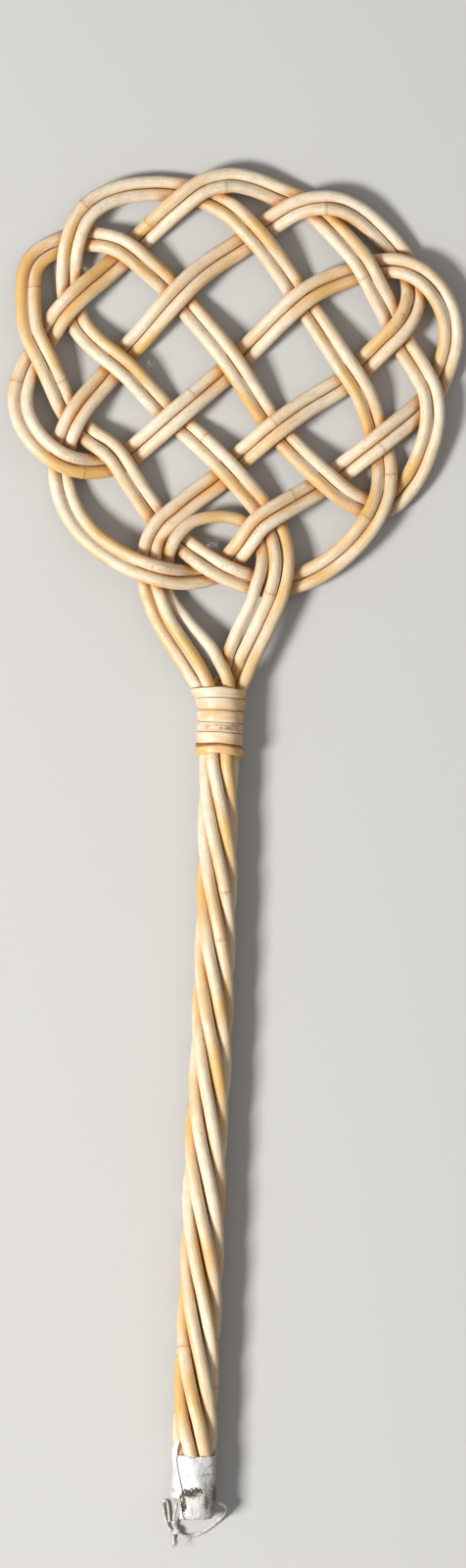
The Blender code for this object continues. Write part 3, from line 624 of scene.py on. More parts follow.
@dataclass(frozen=True)
class PeeledRattan:
    """Peeled rattan cane, with its glassy skin off.

    It is satin and pale, from cream over pink to honey along one cane, with fine lengthwise
    fibres and short brown pores. Where canes cross and press it turns orange, partly stained
    and partly painted shade. Beside a neighbour it has amber streaks of painted shade, and
    where canes touch it has dark lines of painted shade. It has broken brown growth rings, and
    cracks across on the outside of a tight bend.
    """

    name: str = "peeled_rattan_cane"
    cream: str = "#fcefd6"
    blush: str = "#f7e0bf"
    honey: str = "#edbf74"
    pith: str = "#e0b883"
    fibre: str = "#cc9a5c"
    pore: str = "#8a5c33"
    amber: str = "#dca75f"
    stain_and_shade: str = "#c07e37"
    seam: str = "#43301e"
    ring: str = "#8a5a2c"
    crack: str = "#a87442"
    relief: tuple = (0.6, 0.14)
    roughness: float = 0.44
    tone_mm: float = 62.0
    mottle_mm: float = 3.0
    fibre_mm: float = 0.8
    fibre_length_mm: float = 17.0
    pore_mm: float = 0.7
    pore_share: float = 0.28
    ring_half_mm: float = 0.5
    ring_waver_mm: float = 3.2

    def build(self) -> bpy.types.Material:
        """Makes the material.

        Returns:
            The material.
        """
        material, node, place, values = start_material(
            self.name, "cane_coords", ("pressed", "beside", "growth", "strain"))
        # The fibres are drawn about twice as wide as the real ones so that they show
        mottle, fibre, pore = 1 / self.mottle_mm, 1 / self.fibre_mm, 1 / self.pore_mm
        values |= draw_patterns(node, place, {
            "tone": ((0.07, 0.07, 1 / self.tone_mm), 3.0, 0.5),
            "mottle": ((mottle, mottle, mottle / 2), 5.0, 0.65),
            "fibres": ((fibre, fibre, 1 / self.fibre_length_mm), 4.0, 0.5),
            "dashes": ((pore, pore, self.pore_share * pore), 1.0, 0.5),
            "across": ((0.25, 0.25, 1.5), 2.0, 0.5)})
        ramp = node("ShaderNodeValToRGB", {}, {"Fac": values["tone"]})
        stops = ramp.color_ramp.elements
        stops[0].position, stops[0].color = 0.38, linear(self.cream)
        stops[1].position, stops[1].color = 0.63, linear(self.honey)
        stops.new(0.52).color = linear(self.blush)
        colour = paint(node, values, (
            ("pith", "LINEAR", "mottle", 0.42, 0.72, 0.0, 0.5),
            ("streak", "LINEAR", "fibres", 0.47, 0.74, 0.0, 0.36),
            ("pore", "SMOOTHSTEP", "dashes", 0.69, 0.74, 0.0, 0.45),
            # Amber where another cane crosses and presses: partly stained, partly painted shade
            # where one cane dives under the other. Amber streaks beside a neighbour are painted
            # shade in the hollow between them.
            ("streaky", "SMOOTHSTEP", "tone", 0.44, 0.6, 0.2, 0.65),
            ("edge", "MULTIPLY", "beside", "streaky"),
            ("both", "MAXIMUM", "edge", "pressed"),
            ("uneven", "LINEAR", "mottle", 0.3, 0.7, 0.38, 1.0),
            ("amber", "MULTIPLY", "both", "uneven"),
            ("burnt", "SMOOTHSTEP", "pressed", 0.45, 0.92, 0.0, 0.95),
            ("blotched", "MULTIPLY", "burnt", "uneven"),
            # Painted shade: a dark brown line right along the lines of contact
            ("seam", "SMOOTHSTEP", "beside", 0.8, 0.95, 0.0, 0.8),
            ("touch", "SMOOTHSTEP", "pressed", 0.93, 1.0, 0.0, 0.55),
            ("soiled", "MAXIMUM", "seam", "touch"),
            # Growth rings: a wavering line, broken here and there
            ("waver", "MULTIPLY_ADD", "mottle", self.ring_waver_mm, "growth"),
            ("centred", "SUBTRACT", "waver", self.ring_waver_mm / 2),
            ("distance", "ABSOLUTE", "centred"),
            ("line", "SMOOTHSTEP", "distance", self.ring_half_mm, 0.1),
            ("breaks", "LINEAR", "fibres", 0.36, 0.56, 0.05, 0.62),
            ("ring", "MULTIPLY", "line", "breaks"),
            ("halo", "SMOOTHSTEP", "distance", 2.6, 0.2, 0.0, 0.28),
            # Fine cracks across the stretched side of a bend
            ("cut", "SMOOTHSTEP", "across", 0.58, 0.66),
            ("bent", "SMOOTHSTEP", "strain", 0.085, 0.15, 0.0, 0.5),
            ("crack", "MULTIPLY", "cut", "bent"),
            ("rough", "LINEAR", "mottle", 0.3, 0.7, self.roughness - 0.07, self.roughness + 0.14),
            ("pitted", "MULTIPLY_ADD", "pore", -0.9, "fibres"),
            ("cracked", "MULTIPLY_ADD", "crack", -2.8, "pitted"),
            ("ringed", "MULTIPLY_ADD", "ring", -1.2, "cracked"),
            ("height", "MULTIPLY_ADD", "mottle", 1.3, "ringed"),
        ), ramp, (
            ("pith", self.pith), ("streak", self.fibre), ("pore", self.pore),
            ("amber", self.amber), ("blotched", self.stain_and_shade), ("soiled", self.seam),
            ("halo", self.amber), ("ring", self.ring), ("crack", self.crack)))
        return end_material(material, colour, values["height"], self.relief, values["rough"])


@dataclass(frozen=True)
class RattanCore:
    """Unpeeled core of the handle: matte, brownish and dusty, with coarse open fibres."""

    name: str = "matte_rattan_core"
    straw: str = "#c99f6c"
    brown: str = "#7d5a37"
    fibre_mm: float = 0.6
    relief: tuple = (0.7, 0.2)
    roughness: float = 0.75

    def build(self) -> bpy.types.Material:
        """Makes the material.

        Returns:
            The material.
        """
        material, node, place, _ = start_material(self.name)
        fine = 1 / (self.fibre_mm * MM)
        values = draw_patterns(node, place, {"fibres": ((fine, 0.05 * fine, fine), 4.0, 0.5)})
        colour = paint(node, values, (("dark", "LINEAR", "fibres", 0.4, 0.7),),
                       linear(self.straw), (("dark", self.brown),))
        return end_material(material, colour, values["fibres"], self.relief, self.roughness)


@dataclass(frozen=True)
class CaneStrip:
    """Split cane strip with its skin on: smooth, a little glossy, cream, ambered with age.

    The last turn is darker amber, with painted shade on its upper part and a painted highlight
    on its front. The right side of the other turns is ambered as painted shade. Faint lines run
    along the strip, its edges are dark, and one turn is scuffed grey.
    """

    name: str = "split_cane_strip"
    cream: str = "#fcead0"
    honey: str = "#efc690"
    line: str = "#cf9a5c"
    amber: str = "#efb95f"
    shade_amber: str = "#8a4d16"
    edge: str = "#a0642c"
    scuff: str = "#8a776b"
    grain_mm: float = 0.5
    relief: tuple = (0.45, 0.12)
    roughness: float = 0.36

    def build(self) -> bpy.types.Material:
        """Makes the material.

        Returns:
            The material.
        """
        material, node, place, values = start_material(
            self.name, "strip_coords", ("amber", "rim", "scuffed"))
        values |= draw_patterns(node, place, {
            "grain": ((0.5, 1 / self.grain_mm, 0.035), 3.0, 0.5),
            "cloud": ((0.1, 0.16, 0.045), 3.0, 0.5),
            "marks": ((0.5, 0.8, 0.32), 4.0, 0.5)})
        values["across"] = node("ShaderNodeSeparateXYZ", {}, {"Vector": place}).outputs["Y"]
        colour = paint(node, values, (
            ("honey", "LINEAR", "cloud", 0.4, 0.64),
            ("lines", "LINEAR", "grain", 0.5, 0.75, 0.0, 0.5),
            ("patchy", "LINEAR", "grain", 0.3, 0.6, 0.55, 1.0),
            # The amber mark is age on the last turn and painted shade on the right of the others
            ("aged", "MULTIPLY", "amber", "patchy"),
            # The last turn leans out, and its upper part gets painted shade in dark amber
            ("leaning", "SMOOTHSTEP", "across", 0.5, 2.4, 0.0, 1.1),
            ("late", "LINEAR", "amber", 0.5, 0.58),
            ("broken", "MULTIPLY", "late", "patchy"),
            ("shaded", "MULTIPLY", "leaning", "broken"),
            ("edge", "SMOOTHSTEP", "rim", 0.9, 1.0, 0.0, 0.7),
            ("patch", "SMOOTHSTEP", "marks", 0.38, 0.62, 0.0, 0.85),
            ("inner", "SMOOTHSTEP", "rim", 0.85, 0.3),
            ("where", "MULTIPLY", "inner", "scuffed"),
            ("scuff", "MULTIPLY", "patch", "where"),
            ("rough", "LINEAR", "marks", 0.3, 0.7, self.roughness - 0.06, self.roughness + 0.14),
            ("height", "MULTIPLY_ADD", "scuff", 0.8, "grain"),
        ), linear(self.cream), (
            ("honey", self.honey), ("lines", self.line), ("aged", self.amber),
            ("shaded", self.shade_amber), ("edge", self.edge), ("scuff", self.scuff)))
        return end_material(material, colour, values["height"], self.relief, values["rough"])


@dataclass(frozen=True)
class ClothTape:
    """White cotton-backed adhesive tape: matte, with crossing threads, creases and grey dirt, and
    with painted shade in its creases, along its lapped edge and under its torn flaps.
    """

    name: str = "worn_cloth_tape"
    white: str = "#f2f1ed"
    grey: str = "#d2cec7"
    gum: str = "#a58a63"
    grime: str = "#3d3226"
    fold: str = "#6f685f"
    thread_mm: float = 0.45
    fleck_mm: float = 0.7
    relief: tuple = (0.5, 0.12)
    roughness: float = 0.78

    def build(self) -> bpy.types.Material:
        """Makes the material.

        Returns:
            The material.
        """
        material, node, place, values = start_material(
            self.name, "tape_coords", ("grime", "crease"))
        values |= draw_patterns(node, place, {
            "cloud": ((0.22,) * 3, 5.0, 0.6), "blots": ((1.5,) * 3, 4.0, 0.75),
            "flecks": ((1 / self.fleck_mm,) * 3, 1.0, 0.5)})
        # Threads of the cloth, one set round the handle and one along it
        for name, way in (("weft", "Y"), ("warp", "X")):
            values[name] = node(
                "ShaderNodeTexWave", {"wave_type": "BANDS", "bands_direction": way},
                {"Vector": place, "Scale": 0.5 / self.thread_mm, "Distortion": 0.6,
                 "Detail": 1.0}).outputs["Fac"]
        colour = paint(node, values, (
            ("worn", "SMOOTHSTEP", "cloud", 0.5, 0.7, 0.0, 0.5),
            ("gummy", "MULTIPLY_ADD", "grime", 0.25, "blots"),
            ("film", "SMOOTHSTEP", "gummy", 0.62, 0.8, 0.0, 0.85),
            ("speckled", "MULTIPLY_ADD", "grime", 0.25, "flecks"),
            ("specks", "SMOOTHSTEP", "speckled", 0.72, 0.8, 0.0, 0.95),
            # Painted shade, grey, in the creases and along the lapped edge
            ("fold", "MULTIPLY", "crease", 0.7),
            ("cloth", "MULTIPLY", "weft", "warp"),
            ("height", "MULTIPLY_ADD", "blots", 1.6, "cloth"),
        ), linear(self.white), (
            ("worn", self.grey), ("film", self.gum), ("specks", self.grime), ("fold", self.fold)))
        return end_material(material, colour, values["height"], self.relief, self.roughness)


@dataclass(frozen=True)
class OldGum:
    """Old adhesive under the tape: nearly black brown, lumpy, with grey lint stuck in it."""

    name: str = "old_tape_gum"
    dark: str = "#1d1712"
    brown: str = "#54422f"
    lint: str = "#b0a898"
    relief: tuple = (0.8, 0.4)
    roughness: float = 0.62

    def build(self) -> bpy.types.Material:
        """Makes the material.

        Returns:
            The material.
        """
        material, node, place, _ = start_material(self.name, "tape_coords")
        lumps = draw_patterns(node, place, {"lumps": ((1.3,) * 3, 6.0, 0.7)})["lumps"]
        ramp = node("ShaderNodeValToRGB", {}, {"Fac": lumps})
        stops = ramp.color_ramp.elements
        stops[0].position, stops[0].color = 0.42, linear(self.dark)
        stops[1].position, stops[1].color = 0.64, linear(self.lint)
        stops.new(0.53).color = linear(self.brown)
        return end_material(material, ramp, lumps, self.relief, self.roughness)


@dataclass(frozen=True)
class CottonYarn:
    """Bleached cotton string gone grey with handling: matte, fibrous, with a soft sheen."""

    name: str = "twisted_cotton_string"
    pale: str = "#f0eee9"
    dull: str = "#c4beb3"
    brown: str = "#a08055"
    fibre_mm: float = 0.12
    relief: tuple = (0.6, 0.08)
    roughness: float = 0.9
    sheen: float = 0.25

    def build(self) -> bpy.types.Material:
        """Makes the material.

        Returns:
            The material.
        """
        material, node, place, _ = start_material(self.name, "yarn_coords")
        fine = 1 / self.fibre_mm
        values = draw_patterns(node, place, {"fibres": ((fine, fine, 0.12 * fine), 2.0, 0.5),
                                             "clouds": ((0.3, 0.3, 0.22), 3.0, 0.5)})
        ramp = node("ShaderNodeValToRGB", {}, {"Fac": values["clouds"]})
        stops = ramp.color_ramp.elements
        stops[0].position, stops[0].color = 0.46, linear(self.pale)
        stops[1].position, stops[1].color = 0.76, linear(self.brown)
        stops.new(0.62).color = linear(self.dull)
        colour = paint(node, values, (("dull", "LINEAR", "fibres", 0.45, 0.75, 0.0, 0.45),),
                       ramp, (("dull", self.dull),))
        shader = material.node_tree.nodes["Principled BSDF"]
        shader.inputs["Sheen Weight"].default_value = self.sheen
        return end_material(material, colour, values["fibres"], self.relief, self.roughness)


@dataclass(frozen=True)
class Paper:
    """Matte background paper with a faint tooth, pale to the eye.

    Its bounce on the undersides is that of a darker sheet, which keeps the shaded sides of
    the canes as deep as they are over a dark ground.
    """

    name: str = "matte_paper"
    colour: str = "#d3d1cd"
    bounce: str = "#4a4036"
    tooth_mm: float = 1.1
    relief: tuple = (0.1, 0.1)
    roughness: float = 0.9

    def build(self) -> bpy.types.Material:
        """Makes the material.

        Returns:
            The material.
        """
        material, node, place, _ = start_material(self.name)
        values = draw_patterns(node, place,
                               {"tooth": ((1 / (self.tooth_mm * MM),) * 3, 2.0, 0.5)})
        rays = node("ShaderNodeLightPath").outputs
        colour = paint(node, values, (
            ("shown", "MAXIMUM", rays["Is Camera Ray"], rays["Is Glossy Ray"]),
            ("plain", "MAXIMUM", "shown", rays["Is Transmission Ray"]),
        ), linear(self.bounce), (("plain", self.colour),))
        return end_material(material, colour, values["tooth"], self.relief, self.roughness)


@dataclass
class CaneWork:
    """The canes, laid finely along the centre lines of the CAD canes."""

    step: float = 1.7 * MM
    cad_sides: int = 8
    sides: int = 20
    ripple: float = 0.16 * MM
    ripple_length_mm: float = 26.0
    swelling: float = 0.24 * MM
    swelling_reach_mm: float = 4.5
    own_reach_mm: float = 22.0
    ring_spacing_mm: float = 260.0
    ring_first_mm: float = 60.0
    ring_shift_mm: float = 50.0
    ring_catch: float = 4.0 * MM
    between_canes_mm: float = 5000.0
    laid_shift: float = 5.2 * MM
    laid_rise: float = 0.8 * MM
    laid_above: float = 56.0 * MM
    laid_below: float = 9.0 * MM
    laid_softness: int = 23
    laid_ease: float = 3.0
    pressed_reach: float = 8.0 * MM
    search: float = 12.0 * MM
    beside_reach: float = 2.2 * MM
    handle_shade_reach: float = 4.4 * MM
    beside_cosine: float = 0.86
    bend_softness: int = 7
    rings_a_block: int = 40
    lines: dict = field(default_factory=dict)

    def read(self, nodes: dict) -> None:
        """Reads the centre line and the radius of each cane.

        Args:
            nodes: the CAD nodes by name.
        """
        for name in ("outer_cane", "middle_cane", "loop_cane"):
            rings = read_rings(nodes[name], self.cad_sides)
            centres = rings.mean(axis=1)
            radii = np.linalg.norm(rings - centres[:, None, :], axis=2).mean(axis=1)
            self.lines[name] = smooth_line(np.column_stack((centres, radii)), self.step)

    def lay_over(self) -> None:
        """Lays one cane of the left leg across the others just above the binding."""
        x, y = photo_point(LAID_OVER_PX)
        found = min((abs(line[index, 0] - x), name, index) for name, line in self.lines.items()
                    for index in np.flatnonzero(np.abs(line[:, 1] - y) < self.step))
        line = self.lines[found[1]].copy()
        above = line[:, 1] - NECK_PLACE[1]
        share = smooth_step((self.laid_above - above) / self.laid_above)
        share *= smooth_step((above + self.laid_below) / self.laid_below)
        beyond = np.flatnonzero(share == 0)
        first = beyond[beyond < found[2]].max(initial=0)
        last = beyond[beyond > found[2]].min(initial=len(line))
        line[first:last, 0] += self.laid_shift * share[first:last]
        line[first:last, 2] += self.laid_rise * share[first:last]
        softer = np.convolve(line[:, 0], soft_window(self.laid_softness), "same")
        easier = (softer - line[:, 0]) * np.minimum(self.laid_ease * share, 1)
        line[first:last, 0] += easier[first:last]
        self.lines[found[1]] = line

    def growth(self, name: str) -> np.ndarray:
        """Gives the signed distance in millimetres to the nearest growth ring of a cane.

        Args:
            name: the cane.

        Returns:
            One distance for each point of its centre line.
        """
        along = lengths_along(self.lines[name][:, :3]) / MM
        places = []
        for place in GROWTH_RINGS_PX:
            found = []
            for other, line in self.lines.items():
                off = np.linalg.norm(seen_place(line[:, :3]) - photo_point(place), axis=1)
                near = np.flatnonzero(off < self.ring_catch)
                if len(near):
                    top = near[np.argmax(line[near, 2] - off[near])]
                    found.append((line[top, 2] - off[top], other, top))
            if found and max(found)[1] == name:
                places.append(along[max(found)[2]])
        random = np.random.default_rng(SEED + len(name))
        spread = np.arange(self.ring_first_mm, along[-1], self.ring_spacing_mm)
        for place in spread + random.uniform(-self.ring_shift_mm, self.ring_shift_mm):
            depth = np.interp(place, along, self.lines[name][:, 1])
            if depth < 0 and all(abs(place - other) > self.ring_spacing_mm / 2 for other in places):
                places.append(place)
        away = along[:, None] - np.array(places)[None, :]
        return away[np.arange(len(along)), np.abs(away).argmin(axis=1)]

    def tree(self) -> bpy.types.NodeTree:
        """Makes the node tree that turns a centre line to a cane.

        Returns:
            The tree, with its sizes as named inputs.
        """
        tree, node, sizes = start_tree("lay_cane", {"Sides": "Int", "Ripple": "Float",
                                                    "Ripple length": "Float", "Swelling": "Float",
                                                    "Swelling reach": "Float"})
        radius, growth, along = (
            node("GeometryNodeInputNamedAttribute", NUMBER, {"Name": name})
            for name in ("cane_radius", "growth", "along"))
        curve = node("GeometryNodeMeshToCurve", {}, {"Mesh": sizes["Guide"]})
        circle = node("GeometryNodeCurvePrimitiveCircle", {}, {
            "Resolution": sizes["Sides"], "Radius": 1.0})
        marked = node("GeometryNodeStoreNamedAttribute", VECTOR, {
            "Geometry": circle, "Name": "around", "Value": node("GeometryNodeInputPosition")})
        swept = node("GeometryNodeCurveToMesh", {}, {
            "Curve": curve, "Scale": radius, "Profile Curve": marked, "Fill Caps": True})
        around = node("GeometryNodeInputNamedAttribute", VECTOR, {"Name": "around"})
        values = {}
        work_out(node, values, (("width", "DIVIDE", radius, MM),
                                ("thinner", "DIVIDE", 1.0, sizes["Ripple length"])))
        flat = node("ShaderNodeVectorMath", {"operation": "SCALE"},
                    {"Vector": around, "Scale": values["width"]})
        split = node("ShaderNodeSeparateXYZ", {}, {"Vector": flat}).outputs
        place = node("ShaderNodeCombineXYZ", {}, {"X": split[0], "Y": split[1], "Z": along})
        stored = node("GeometryNodeStoreNamedAttribute", VECTOR, {
            "Geometry": swept, "Name": "cane_coords", "Value": place})
        squeeze = node("ShaderNodeCombineXYZ", {}, {"X": 0.1, "Y": 0.1, "Z": values["thinner"]})
        scaled = node("ShaderNodeVectorMath", {"operation": "MULTIPLY"}, {0: place, 1: squeeze})
        wave = node("ShaderNodeTexNoise", {}, {"Vector": scaled, "Scale": 1.0, "Detail": 1.0})
        work_out(node, values, (
            ("centred", "SUBTRACT", wave, 0.5),
            ("ripple", "MULTIPLY", "centred", sizes["Ripple"]),
            ("away", "ABSOLUTE", growth),
            ("hump", "SMOOTHSTEP", "away", sizes["Swelling reach"], 0.0),
            ("lift", "MULTIPLY_ADD", "hump", sizes["Swelling"], "ripple")))
        offset = node("ShaderNodeVectorMath", {"operation": "SCALE"}, {
            "Vector": node("GeometryNodeInputNormal"), "Scale": values["lift"]})
        moved = node("GeometryNodeSetPosition", {}, {"Geometry": stored, "Offset": offset})
        return end_tree(tree, moved, sizes["Finish"])

    def build(self, finish: bpy.types.Material) -> None:
        """Makes the canes.

        Args:
            finish: their material.
        """
        tree = self.tree()
        sizes = {"Sides": self.sides, "Ripple": self.ripple, "Ripple length": self.ripple_length_mm,
                 "Swelling": self.swelling, "Swelling reach": self.swelling_reach_mm,
                 "Finish": finish}
        for index, (name, line) in enumerate(self.lines.items()):
            along = lengths_along(line[:, :3]) / MM + self.between_canes_mm * index
            guide = guide_mesh(name + "_line", [line], cane_radius=line[:, 3], along=along,
                               growth=self.growth(name), station=np.arange(len(line)))
            mesh = grow(guide, tree, sizes, "fine_" + name)
            self.mark(mesh, name)
            tie(show("fine_" + name, mesh), Body.BEATER, Slot.CANE, (name,))

    def mark(self, mesh: bpy.types.Mesh, name: str) -> None:
        """Stores on a cane how near others lie and how far its surface is stretched.

        Args:
            mesh: the cane's mesh.
            name: the cane.
        """
        points = get_points(mesh)
        station = np.zeros(len(points), np.float32)
        mesh.attributes["station"].data.foreach_get("value", station)
        station = station.round().astype(int)
        line = self.lines[name]
        step = lengths_along(line[:, :3])[-1] / (len(line) - 1)
        bend = np.zeros((len(line), 3))
        bend[1:-1] = (line[:-2, :3] - 2 * line[1:-1, :3] + line[2:, :3]) / step ** 2
        soft = np.ones(self.bend_softness) / self.bend_softness
        bend = np.column_stack([np.convolve(column, soft, "same") for column in bend.T])
        set_attribute(mesh, "strain", -((points - line[station, :3]) * bend[station]).sum(axis=1))
        ways = {other: np.gradient(rest[:, :3], axis=0) for other, rest in self.lines.items()}
        ways = {other: way / np.linalg.norm(way, axis=1)[:, None] for other, way in ways.items()}
        across = np.full(len(points), self.pressed_reach)
        # On the handle the beside mark reaches further, which widens the painted shade in the
        # grooves between strands
        reach = np.where(points[:, 1] > NECK_PLACE[1], self.beside_reach, self.handle_shade_reach)
        beside = reach.copy()
        order = np.argsort(station, kind="stable")
        block = self.rings_a_block * self.sides
        for start in range(0, len(order), block):
            part = order[start:start + block]
            low = points[part].min(axis=0) - self.search
            high = points[part].max(axis=0) + self.search
            for other, rest in self.lines.items():
                near = np.flatnonzero(((rest[:, :3] > low) & (rest[:, :3] < high)).all(axis=1))
                if not len(near):
                    continue
                apart = np.linalg.norm(points[part][:, None] - rest[near][None, :, :3], axis=2)
                apart -= rest[near, 3][None, :]
                if other == name:
                    own = np.abs(station[part][:, None] - near[None, :]) * step / MM
                    apart[own < self.own_reach_mm] = self.pressed_reach
                cosine = np.abs(ways[name][station[part]] @ ways[other][near].T)
                along = cosine > self.beside_cosine
                across[part] = np.minimum(across[part], np.where(along, 1, apart).min(axis=1))
                beside[part] = np.minimum(beside[part], np.where(along, apart, 1).min(axis=1))
        set_attribute(mesh, "pressed", smooth_step(1 - across / self.pressed_reach))
        set_attribute(mesh, "beside", 1 - np.clip(beside / reach, 0, 1))


@dataclass
class Grip:
    """Outline of the canes where the binding and the tape hold them."""

    lines: dict
    directions: int = 120
    start: float = 1.5 * MM
    end: float = -470 * MM
    step: float = 1.0 * MM
    last: float = -456.5 * MM
    rounding: int = 27
    rounded_share: float = 0.8
    least_cosine: float = 0.3
    straight: float = -60 * MM
    tries: int = 8
    table: np.ndarray = field(default_factory=lambda: np.zeros(0))
    rounded: np.ndarray = field(default_factory=lambda: np.zeros(0))
    centres: np.ndarray = field(default_factory=lambda: np.zeros(0))

    def measure(self) -> None:
        """Works out the outline round the canes at each step down the handle."""
        angles = np.linspace(0, TURN, self.directions, endpoint=False)
        faces = np.column_stack((np.cos(angles), np.sin(angles)))
        turned = np.cos(angles[:, None] - angles[None, :])
        turned = np.where(turned > self.least_cosine, turned, np.nan)
        rows, centres = [], []
        for down in np.arange(self.start, self.end, -self.step):
            cut = self.section(max(down, self.last))
            middle = np.array((cut[:, 0].mean(), NECK_PLACE[2]))
            if down > self.straight:
                middle[0] = NECK_PLACE[0]
            reach = ((cut[:, :2] - middle) @ faces.T + cut[:, 2:]).max(axis=0)
            rows.append(np.nanmin(reach[None, :] / turned, axis=1))
            centres.append(middle[0])
        self.table = np.array(rows)
        self.centres = np.array(centres)
        # A stiff strip bridges the flats between the canes in a rounder line
        soft = soft_window(self.rounding)
        around = np.pad(self.table, ((0, 0), (self.rounding // 2,) * 2), "wrap")
        self.rounded = np.array([np.convolve(row, soft, "valid") for row in around])
        missing = (self.table - self.rounded).max(axis=1)
        self.rounded += self.rounded_share * missing[:, None]

    def section(self, down: float) -> np.ndarray:
        """Cuts the canes square to the handle.

        Args:
            down: Y from the neck, negative down the handle.

        Returns:
            X, Z and radius of each cane cut.
        """
        level = NECK_PLACE[1] + down
        cuts = []
        for line in self.lines.values():
            for hit in np.flatnonzero((line[:-1, 1] - level) * (line[1:, 1] - level) <= 0):
                share = (level - line[hit, 1]) / (line[hit + 1, 1] - line[hit, 1])
                cuts.append((line[hit] + share * (line[hit + 1] - line[hit]))[[0, 2, 3]])
        return np.array(cuts)

    def radius(self, angle: np.ndarray, down: np.ndarray, smooth: bool = False) -> np.ndarray:
        """Gives how far the outline stands from the handle's middle.

        Args:
            angle: angle from +X towards +Z.
            down: Y from the neck.
            smooth: whether the rounded outline is wanted.

        Returns:
            The distances.
        """
        table = self.rounded if smooth else self.table
        row = np.clip((self.start - down) / self.step, 0, len(table) - 1.001)
        column = (angle / TURN % 1) * self.directions
        upper, left = row.astype(int), column.astype(int) % self.directions
        right = (left + 1) % self.directions
        down_share, turn_share = row - upper, column - column.astype(int)
        first = table[upper, left] * (1 - turn_share) + table[upper, right] * turn_share
        second = table[upper + 1, left] * (1 - turn_share) + table[upper + 1, right] * turn_share
        return first * (1 - down_share) + second * down_share

    def middle(self, down: np.ndarray) -> np.ndarray:
        """Gives X of the handle's middle at a Y from the neck."""
        row = (self.start - down) / self.step
        return np.interp(row, np.arange(len(self.centres)), self.centres)

    def place(self, angle: np.ndarray, down: np.ndarray, out: np.ndarray) -> np.ndarray:
        """Gives points at a distance from the handle's middle.

        Args:
            angle: angle from +X towards +Z.
            down: Y from the neck.
            out: distance from the middle.

        Returns:
            The points.
        """
        return np.stack((self.middle(down) + out * np.cos(angle), NECK_PLACE[1] + down,
                         NECK_PLACE[2] + out * np.sin(angle)), axis=-1)

    def find(self, place: tuple[float, float], out: float) -> tuple[float, float]:
        """Finds a pixel of the photograph on the handle's front.

        Args:
            place: the pixel.
            out: how far the surface there stands from the outline.

        Returns:
            Angle from +X towards +Z, and Y from the neck.
        """
        wanted = photo_point(place)
        x, y, angle = *wanted, np.array(math.pi / 2)
        for _ in range(self.tries):
            down = np.array(y - NECK_PLACE[1])
            reach = self.radius(angle, down) + out
            angle = np.arccos(np.clip((x - self.middle(down)) / reach, -0.999, 0.999))
            x, y = (x, y) + wanted - seen_place(self.place(angle, down, reach))
        return float(angle), float(down)


